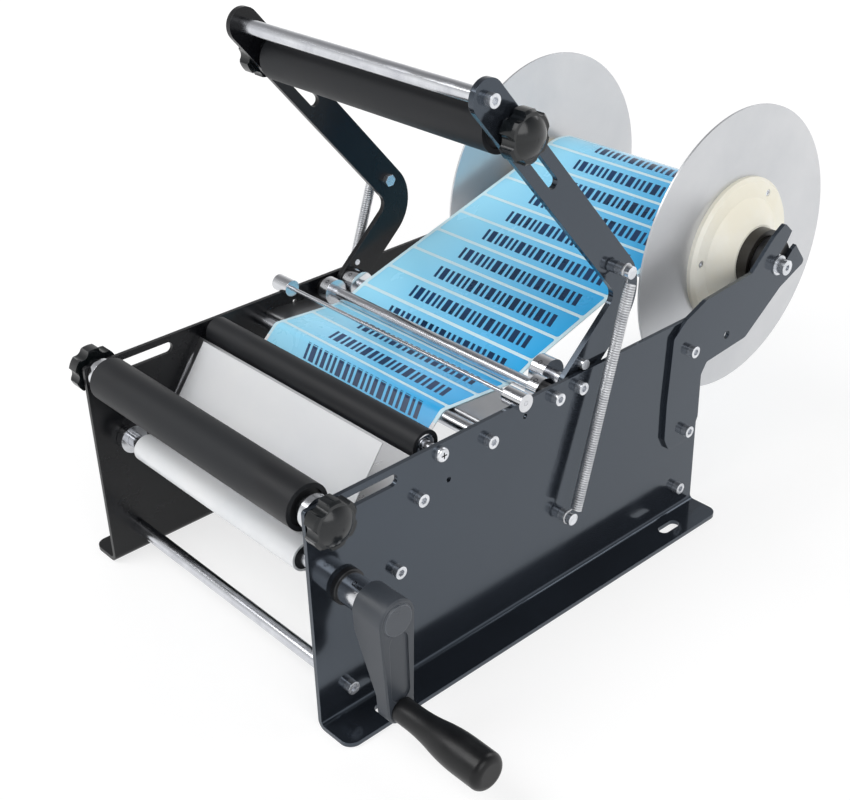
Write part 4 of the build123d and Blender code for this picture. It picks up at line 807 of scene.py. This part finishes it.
@dataclass
class Labels:
    """Printed labels in a row on the web and on the roll."""

    path: WebPath = field(default_factory=WebPath)
    left: float = -90.5
    right: float = 77.4
    length: float = 22.8
    gap: float = 2.7
    thickness: float = 0.07
    corner: float = 1.6
    corner_shares: tuple[float, ...] = (0.08, 0.3, 0.6, 1.0)
    facet: float = 1.5
    margin: float = 3.0
    lead_depth: float = 0.1
    tail: float = 46.0
    print_left: float = -54.0
    print_right: float = 62.0
    print_height: float = 12.0
    bars: tuple[float, ...] = (2.6, 5.2, 2.6, 3.8, 2.6, 2.6, 5.2, 3.8, 2.6, 5.2, 2.6, 2.6, 3.8, 5.2, 2.6, 3.8,
                               2.6, 5.2, 2.6, 3.8)
    slant: float = 0.3
    ink: float = 0.02
    wound: int = 11
    roll_radius: float = 43.5

    def patch(self, start: float, end: float, left: float, right: float, low: float, high: float,
              corner: float = 0.0, slant: float = 0.0, on_roll: bool = False) -> Mesh:
        """Thin slab that follows the web.

        Args:
            start: nearer end, as a way along the web.
            end: further end.
            left: left edge at the nearer end.
            right: right edge at the nearer end.
            low: height of its lower face above the web.
            high: height of its upper face.
            corner: radius of its corners.
            slant: shift to the right for each step along the web.
            on_roll: true where it lies on the turning roll.

        Returns:
            The slab.
        """
        cuts = {start, end}
        if corner:
            for share in self.corner_shares:
                cuts |= {start + corner * share, end - corner * share}
        steps = max(2, round((end - start) / self.facet))
        cuts |= {start + (end - start) * step / steps for step in range(steps)}
        rings = []
        for way in sorted(cuts):
            edge = min(way - start, end - way)
            inset = corner - math.sqrt(max(corner ** 2 - (corner - min(edge, corner)) ** 2, 0.0))
            shift = slant * (way - start)
            near, far = left + inset + shift, right - inset + shift
            under, over = [self.on_roll(way, lift) if on_roll else self.path.place(way, lift)
                           for lift in (low, high)]
            rings.append([(near, *under), (far, *under), (far, *over), (near, *over)])
        return lofted(rings)

    def on_roll(self, way: float, lift: float) -> Pair:
        """Point on the turning roll, at a way round it from where the web leaves."""
        outward = self.path.legs[0][3]
        turn = math.atan2(outward.y, outward.x) + way / self.roll_radius
        y, z = self.path.rounds[0][:2]
        reach = self.roll_radius + lift
        return y + reach * math.cos(turn), z + reach * math.sin(turn)

    def films(self, starts: Sequence[float], on_roll: bool) -> Mesh:
        """Bare labels.

        Args:
            starts: where each label starts, as a way along the web.
            on_roll: true where they lie on the turning roll.

        Returns:
            The labels as one mesh.
        """
        return joined([self.patch(start, start + self.length, self.left, self.right, 0.0, self.thickness,
                                  self.corner, 0.0, on_roll) for start in starts])

    def inks(self, starts: Sequence[float], on_roll: bool) -> Mesh:
        """Rows of slanted bars that stand for the print of the labels.

        Args:
            starts: where each label starts, as a way along the web.
            on_roll: true where they lie on the turning roll.

        Returns:
            The bars as one mesh.
        """
        low, high = self.thickness, self.thickness + self.ink
        space = (self.print_right - self.print_left - sum(self.bars)) / (len(self.bars) - 1)
        made = []
        for start in starts:
            near = start + (self.length - self.print_height) / 2
            far = near + self.print_height
            left = self.print_left
            for width in self.bars:
                made.append(self.patch(near, far, left, left + width, low, high, 0.0, self.slant, on_roll))
                left += width + space
        return joined(made)

    def build(self, shop: Workshop) -> None:
        """Builds the labels on the web, those on the roll and the feathered lead between them."""
        pitch = self.length + self.gap
        end = self.path.length_to_peel() + self.tail
        starts = []
        start = self.gap - pitch
        while start + self.length < end:
            starts.append(start)
            start += pitch
        made = shop.piece("labels_on_web", self.films(starts, False), LABEL_BLUE, "frame", "label_blue")
        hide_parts("web_labels")
        shop.piece("print_on_web", self.inks(starts, False), LABEL_INK, "frame", "label_blue")
        left, right = self.left - self.margin, self.right + self.margin
        lead = self.patch(-pitch, 0.0, left, right, -self.lead_depth, 0.0)
        shop.piece("web_lead", lead, LINER, "frame", "liner_paper")
        round_way = math.tau * self.roll_radius
        starts = [-index * round_way / self.wound - self.length for index in range(self.wound)]
        shop.piece("labels_on_roll", self.films(starts, True), LABEL_BLUE, "reel", "label_blue")
        shop.piece("print_on_roll", self.inks(starts, True), LABEL_INK, "reel", "label_blue")


@dataclass
class SetScrews:
    """Small socket screws in collars and hubs."""

    radius: float = 1.7
    socket: float = 1.05
    depth: float = 0.9
    proud: float = 0.06
    hub_radius: float = 2.45
    hub_socket: float = 1.3
    hub_circle: float = 47.0
    hub_count: int = 3
    hub_turn: float = 54.0
    hub_faces: Pair = (88.0, -116.6)
    hub_rise: float = -0.3
    hub_sink: float = 1.6
    reel: Pair = (254.5, 166.6)
    sink: float = 0.8
    places: int = 12
    chamfer: float = 0.25
    socket_rim: float = 0.08
    socket_lead: float = 0.1
    socket_taper: float = 0.98
    fixed: tuple[tuple[float, ...], ...] = (
        (-104.75, 25.0, 149.0, 9.5, 115.0), (104.75, 25.0, 149.0, 9.5, 115.0),
        (-103.2, 46.8, 148.1, 10.5, 122.0), (89.5, 46.8, 148.1, 10.5, 122.0),
        (113.4, 254.5, 166.6, 18.0, 120.0))
    turning: tuple[tuple[float, ...], ...] = (
        (130.8, -150.0, 95.0, 10.0, 110.0), (111.4, -150.0, 95.0, 10.0, 110.0),
        (-111.4, -150.0, 95.0, 10.0, 110.0))

    def screw(self, seat: Vector, outward: Vector, radius: float, socket: float, rise: float,
              sink: float) -> Mesh:
        """Socket screw whose rim stands at a seat.

        Args:
            seat: middle of its face.
            outward: the way that it faces.
            radius: radius of its head.
            socket: radius to the corners of its socket.
            rise: how far its face stands above the seat.
            sink: how far its wall goes below the seat.

        Returns:
            The skin of the screw.
        """
        across = outward.orthogonal().normalized()
        beside = outward.cross(across)

        def ring(size: float, height: float, hexagon: bool = False) -> list[Point]:
            """Round or six-sided ring of points at a height."""
            points = []
            for index in range(self.places):
                turn = math.tau * index / self.places
                reach = size * math.cos(math.pi / 6) if hexagon and index % 2 else size
                points.append(tuple(seat + outward * height + reach * (
                    math.cos(turn) * across + math.sin(turn) * beside)))
            return points

        return lofted([
            ring(radius, -sink), ring(radius, rise - self.chamfer), ring(radius - self.chamfer, rise),
            ring(socket + self.socket_rim, rise, True), ring(socket, rise - self.socket_lead, True),
            ring(socket * self.socket_taper, rise - self.depth, True)])

    def on_collars(self, places: Sequence[tuple[float, ...]]) -> Mesh:
        """Set screws in collars.

        Args:
            places: X, Y and Z of each collar's middle, its radius, and the way that the screw faces,
                in degrees from +Y.

        Returns:
            The screws.
        """
        made = []
        for x, y, z, radius, angle in places:
            turn = math.radians(angle)
            outward = Vector((0.0, math.cos(turn), math.sin(turn)))
            seat = Vector((x, y, z)) + outward * radius
            made.append(self.screw(seat, outward, self.radius, self.socket, self.proud, self.sink))
        return joined(made)

    def on_hub(self, face_x: float, side: int) -> Mesh:
        """Screws on the face of a hub.

        Args:
            face_x: X of the face.
            side: 1 on the right and -1 on the left.

        Returns:
            The screws.
        """
        made = []
        outward = Vector((float(side), 0.0, 0.0))
        for index in range(self.hub_count):
            turn = math.radians(self.hub_turn + 360 * index / self.hub_count)
            seat = Vector((face_x, self.reel[0] + self.hub_circle * math.cos(turn),
                           self.reel[1] + self.hub_circle * math.sin(turn)))
            made.append(self.screw(seat, outward, self.hub_radius, self.hub_socket, self.hub_rise,
                                   self.hub_sink))
        return joined(made)

    def build(self, shop: Workshop) -> None:
        """Builds the screws on each body that carries them."""
        right, left = self.hub_faces
        for name, mesh, finish, body in (
                ("collar_set_screws", self.on_collars(self.fixed), DARK_STEEL_AND_RECESS_SHADE, "frame"),
                ("drive_set_screws", self.on_collars(self.turning), DARK_STEEL_AND_RECESS_SHADE, "crank"),
                ("hub_screws_right", self.on_hub(right, 1), ZINC, "reel_flange"),
                ("hub_screws_left", self.on_hub(left, -1), ZINC, "reel")):
            shop.piece(name, mesh, finish, body, "zinc_screw")


@dataclass
class RearRollerEnds:
    """Bright shields in the rear roller's ends, and dark crosses on its screws: painted shade of the hollow
    crosses in their heads.
    """

    axis: Pair = (-73.7, 150.5)
    right_end: float = 105.0
    left_end: float = 109.0
    bore: float = 4.3
    rim: float = 7.3
    depth: float = 2.0
    stand: float = 0.1
    dish: float = 0.5
    inner_lip: float = 0.7
    outer_lip: float = 0.9
    head_face: float = 121.6
    recess_half: float = 2.2
    recess_width: float = 0.9
    proud: float = 0.03

    def shield(self, end: float) -> Mesh:
        """Dished ring in the right end of the roller.

        Args:
            end: X of the tube's end.

        Returns:
            The ring.
        """
        back, front = end - self.depth, end + self.stand
        profile = [(front, self.bore + self.inner_lip), (front, self.rim - self.outer_lip),
                   (front - self.dish, self.rim), (back, self.rim), (back, self.bore),
                   (front - self.dish, self.bore)]
        return turned(profile, self.axis)

    def recess(self) -> Mesh:
        """Two crossed dark bars on the face of the right screw: painted shade of the hollow cross in its
        head.
        """
        y, z = self.axis
        low, high = self.head_face - self.proud, self.head_face + self.proud
        long, short = self.recess_half, self.recess_width / 2
        return joined([block((low, y - long, z - short), (high, y + long, z + short)),
                       block((low, y - short, z - long), (high, y + short, z + long))])

    def build(self, shop: Workshop) -> None:
        """Builds the shields on the roller and the painted cross shade on the frame."""
        shields = [self.shield(self.right_end), mirrored(self.shield(self.left_end))]
        shop.piece("rear_bearing_shields", joined(shields), TURNED_STEEL, "rear_roller", "bright_steel")
        recesses = [self.recess(), mirrored(self.recess())]
        # Dark bars: painted shade of the hollow crosses in the screw heads.
        shop.piece("cross_recess_painted_shade", joined(recesses), DARK_STEEL_AND_RECESS_SHADE, "frame", "zinc_screw")


@dataclass
class Frame:
    """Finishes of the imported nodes."""

    finishes: dict[Finish, str] = field(default_factory=lambda: {
        BLACK_ENAMEL: "side_plate_right arm_strap_right reel_bracket_right",
        # The left-side parts take the darker copy of the enamel: painted shade.
        ENAMEL_PAINTED_SHADE: "side_plate_left arm_strap_left reel_bracket_left",
        BRIGHT_STEEL: "front_tie_rod rear_tie_rod upper_support_rod lower_support_rod peel_rod guide_bar "
                      "arm_pivot_shaft hold_down_wire front_axle rear_axle drive_shaft grip_pin arm_top_rod "
                      "press_axle reel_shaft",
        TURNED_STEEL: "guide_bar_collars pivot_collars wire_barrels front_collars rear_roller_bearings "
                      "drive_collars press_collars",
        ZINC: "frame_screws arm_screws spring_top_bolts spring_foot_bolts bracket_screws shaft_end_screws",
        BLACK_PLASTIC: "guide_bar_bushes front_roller_bearings drive_bushes press_roller_bearings "
                       "shaft_stop_collar",
        RUBBER: "front_roller_sleeve rear_roller_sleeve drive_sleeve press_roller_sleeve",
        KNOB_BLACK: "front_knobs press_knobs",
        STAINLESS: "table_plate chute_plate",
        WHITE_FACING: "chute_facing",
        LINER: "label_web",
        LABEL_BLUE: "web_labels",
        SPENT_LINER: "wound_liner",
        CRANK_GREY: "crank_arm",
        CRANK_CAP_PAINTED_HIGHLIGHT: "crank_cap",
        GRIP_BLACK: "crank_grip",
        SPRING_STEEL: "extension_springs",
        ALUMINIUM: "reel_disc_left reel_disc_right",
        HUB_CREAM: "reel_hub_left reel_hub_right",
        ROLL_LAYERS: "label_roll"})

    def dress(self, shop: Workshop) -> None:
        """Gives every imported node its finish."""
        for finish, nodes in self.finishes.items():
            for node in nodes.split():
                shop.dress(node, finish)


@dataclass(frozen=True)
class Lamp:
    """Soft square lamp that faces the machine."""

    name: str
    place: Point
    power: float
    size: float
    aim: Point = (0.0, 0.0, 0.15)

    def build(self) -> None:
        """Hangs the lamp."""
        data = bpy.data.lights.new(self.name, "AREA")
        data.energy = self.power
        data.size = self.size
        lamp = bpy.data.objects.new(self.name, data)
        lamp.location = self.place
        lamp.rotation_mode = "QUATERNION"
        lamp.rotation_quaternion = (Vector(self.aim) - Vector(self.place)).to_track_quat("-Z", "Y")
        bpy.context.scene.collection.objects.link(lamp)


@dataclass
class Studio:
    """Pale floor, soft lamps and the camera of the photograph."""

    floor_half: float = 40.0
    floor_drop: float = 0.0004
    floor_roughness: float = 0.7
    white_from: float = 0.7
    white_to: float = 1.8
    floor_colour: Rgba = (0.92, 0.92, 0.92, 1.0)
    glow_share: float = 0.65
    glow: float = 1.12
    world_strength: float = 1.1
    overhead: Rgba = (0.2, 0.2, 0.206, 1.0)
    sky_range: Pair = (0.05, 0.75)
    eye: Point = (0.639107, -0.544627, 0.589807)
    azimuth: float = 0.8473848978110802
    elevation: float = 0.520485117497783
    roll: float = -0.03044721599257711
    lens: float = 59.49
    sensor: float = 36.0
    nearest: float = 0.01
    lamps: tuple[Lamp, ...] = (
        Lamp("key", (-0.9, -1.5, 2.2), 38.0, 1.6), Lamp("fill", (2.2, -0.6, 1.6), 20.0, 1.6),
        Lamp("back", (0.2, 2.0, 1.8), 14.0, 1.4))

    def floor(self) -> None:
        """Floor that looks white and still takes the object's shadow."""
        half, low = self.floor_half, -self.floor_drop
        data = bpy.data.meshes.new("floor")
        corners = [(-half, -half, low), (half, -half, low), (half, half, low), (-half, half, low)]
        data.from_pydata(corners, [], [(0, 1, 2, 3)])
        made = bpy.data.materials.new("Pale floor")
        made.use_nodes = True
        made.node_tree.nodes.clear()
        graph = Graph(made.node_tree)
        plain = graph.add("ShaderNodeBsdfPrincipled", values={
            "Base Color": self.floor_colour, "Roughness": self.floor_roughness})
        glow = graph.add("ShaderNodeEmission", values={"Color": WHITE, "Strength": self.glow})
        distance = graph.vector("LENGTH", graph.place())
        reach = graph.spread(distance, (self.white_from, self.glow_share), (self.white_to, 1.0))
        share = graph.sum_up("MULTIPLY", self._seen(graph), reach)
        mix = graph.add("ShaderNodeMixShader")
        graph.feed(mix.inputs, (share, plain.outputs[0], glow.outputs[0]))
        graph.join(mix.outputs[0], graph.add("ShaderNodeOutputMaterial").inputs["Surface"])
        data.materials.append(made)
        piece = bpy.data.objects.new("floor", data)
        bpy.context.scene.collection.objects.link(piece)

    @staticmethod
    def _seen(graph: Graph) -> Socket:
        """Share that is one for camera, glossy and transmission rays."""
        rays = graph.add("ShaderNodeLightPath").outputs
        metal = graph.sum_up("MAXIMUM", rays["Is Glossy Ray"], rays["Is Transmission Ray"])
        return graph.sum_up("MAXIMUM", rays["Is Camera Ray"], metal)

    def world(self) -> None:
        """Even light from all round, greyer overhead for what shines."""
        world = bpy.data.worlds.new("Studio")
        bpy.context.scene.world = world
        world.use_nodes = True
        world.node_tree.nodes.clear()
        graph = Graph(world.node_tree)
        low, high = self.sky_range
        height = graph.spread(graph.place("Z", "Generated"), (low, 0.0), (high, 1.0))
        sky = graph.blend(height, WHITE, self.overhead)
        rays = graph.add("ShaderNodeLightPath").outputs
        colour = graph.blend(rays["Is Camera Ray"], sky, WHITE)
        strength = graph.spread(self._seen(graph), (0.0, self.world_strength), (1.0, 1.0))
        light = graph.add("ShaderNodeBackground")
        graph.join(colour, light.inputs["Color"])
        graph.join(strength, light.inputs["Strength"])
        graph.join(light.outputs[0], graph.add("ShaderNodeOutputWorld").inputs["Surface"])

    def camera(self) -> None:
        """Camera at the photograph's place and angle."""
        back = Vector((math.sin(self.azimuth) * math.cos(self.elevation),
                       -math.cos(self.azimuth) * math.cos(self.elevation), math.sin(self.elevation)))
        level = (-back).cross(Vector((0.0, 0.0, 1.0))).normalized()
        upright = level.cross(-back)
        right = math.cos(self.roll) * level + math.sin(self.roll) * upright
        upward = math.cos(self.roll) * upright - math.sin(self.roll) * level
        data = bpy.data.cameras.new("camera")
        data.lens = self.lens
        data.sensor_width = self.sensor
        data.clip_start = self.nearest
        camera = bpy.data.objects.new("camera", data)
        turn = Matrix((right, upward, back)).transposed().to_4x4()
        camera.matrix_world = Matrix.Translation(self.eye) @ turn
        bpy.context.scene.collection.objects.link(camera)
        bpy.context.scene.camera = camera

    def build(self) -> None:
        """Sets up floor, light and camera."""
        self.floor()
        self.world()
        for lamp in self.lamps:
            lamp.build()
        self.camera()
        bpy.context.scene.view_settings.view_transform = "Standard"
        LOG.info("set up the studio")


def main() -> None:
    """Builds and dresses the machine."""
    logging.basicConfig(level=logging.INFO, format="%(message)s")
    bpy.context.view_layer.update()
    shop = Workshop()
    Studio().build()
    Frame().dress(shop)
    Springs().build(shop)
    Labels().build(shop)
    SetScrews().build(shop)
    RearRollerEnds().build(shop)


if __name__ == "__main__":
    main()
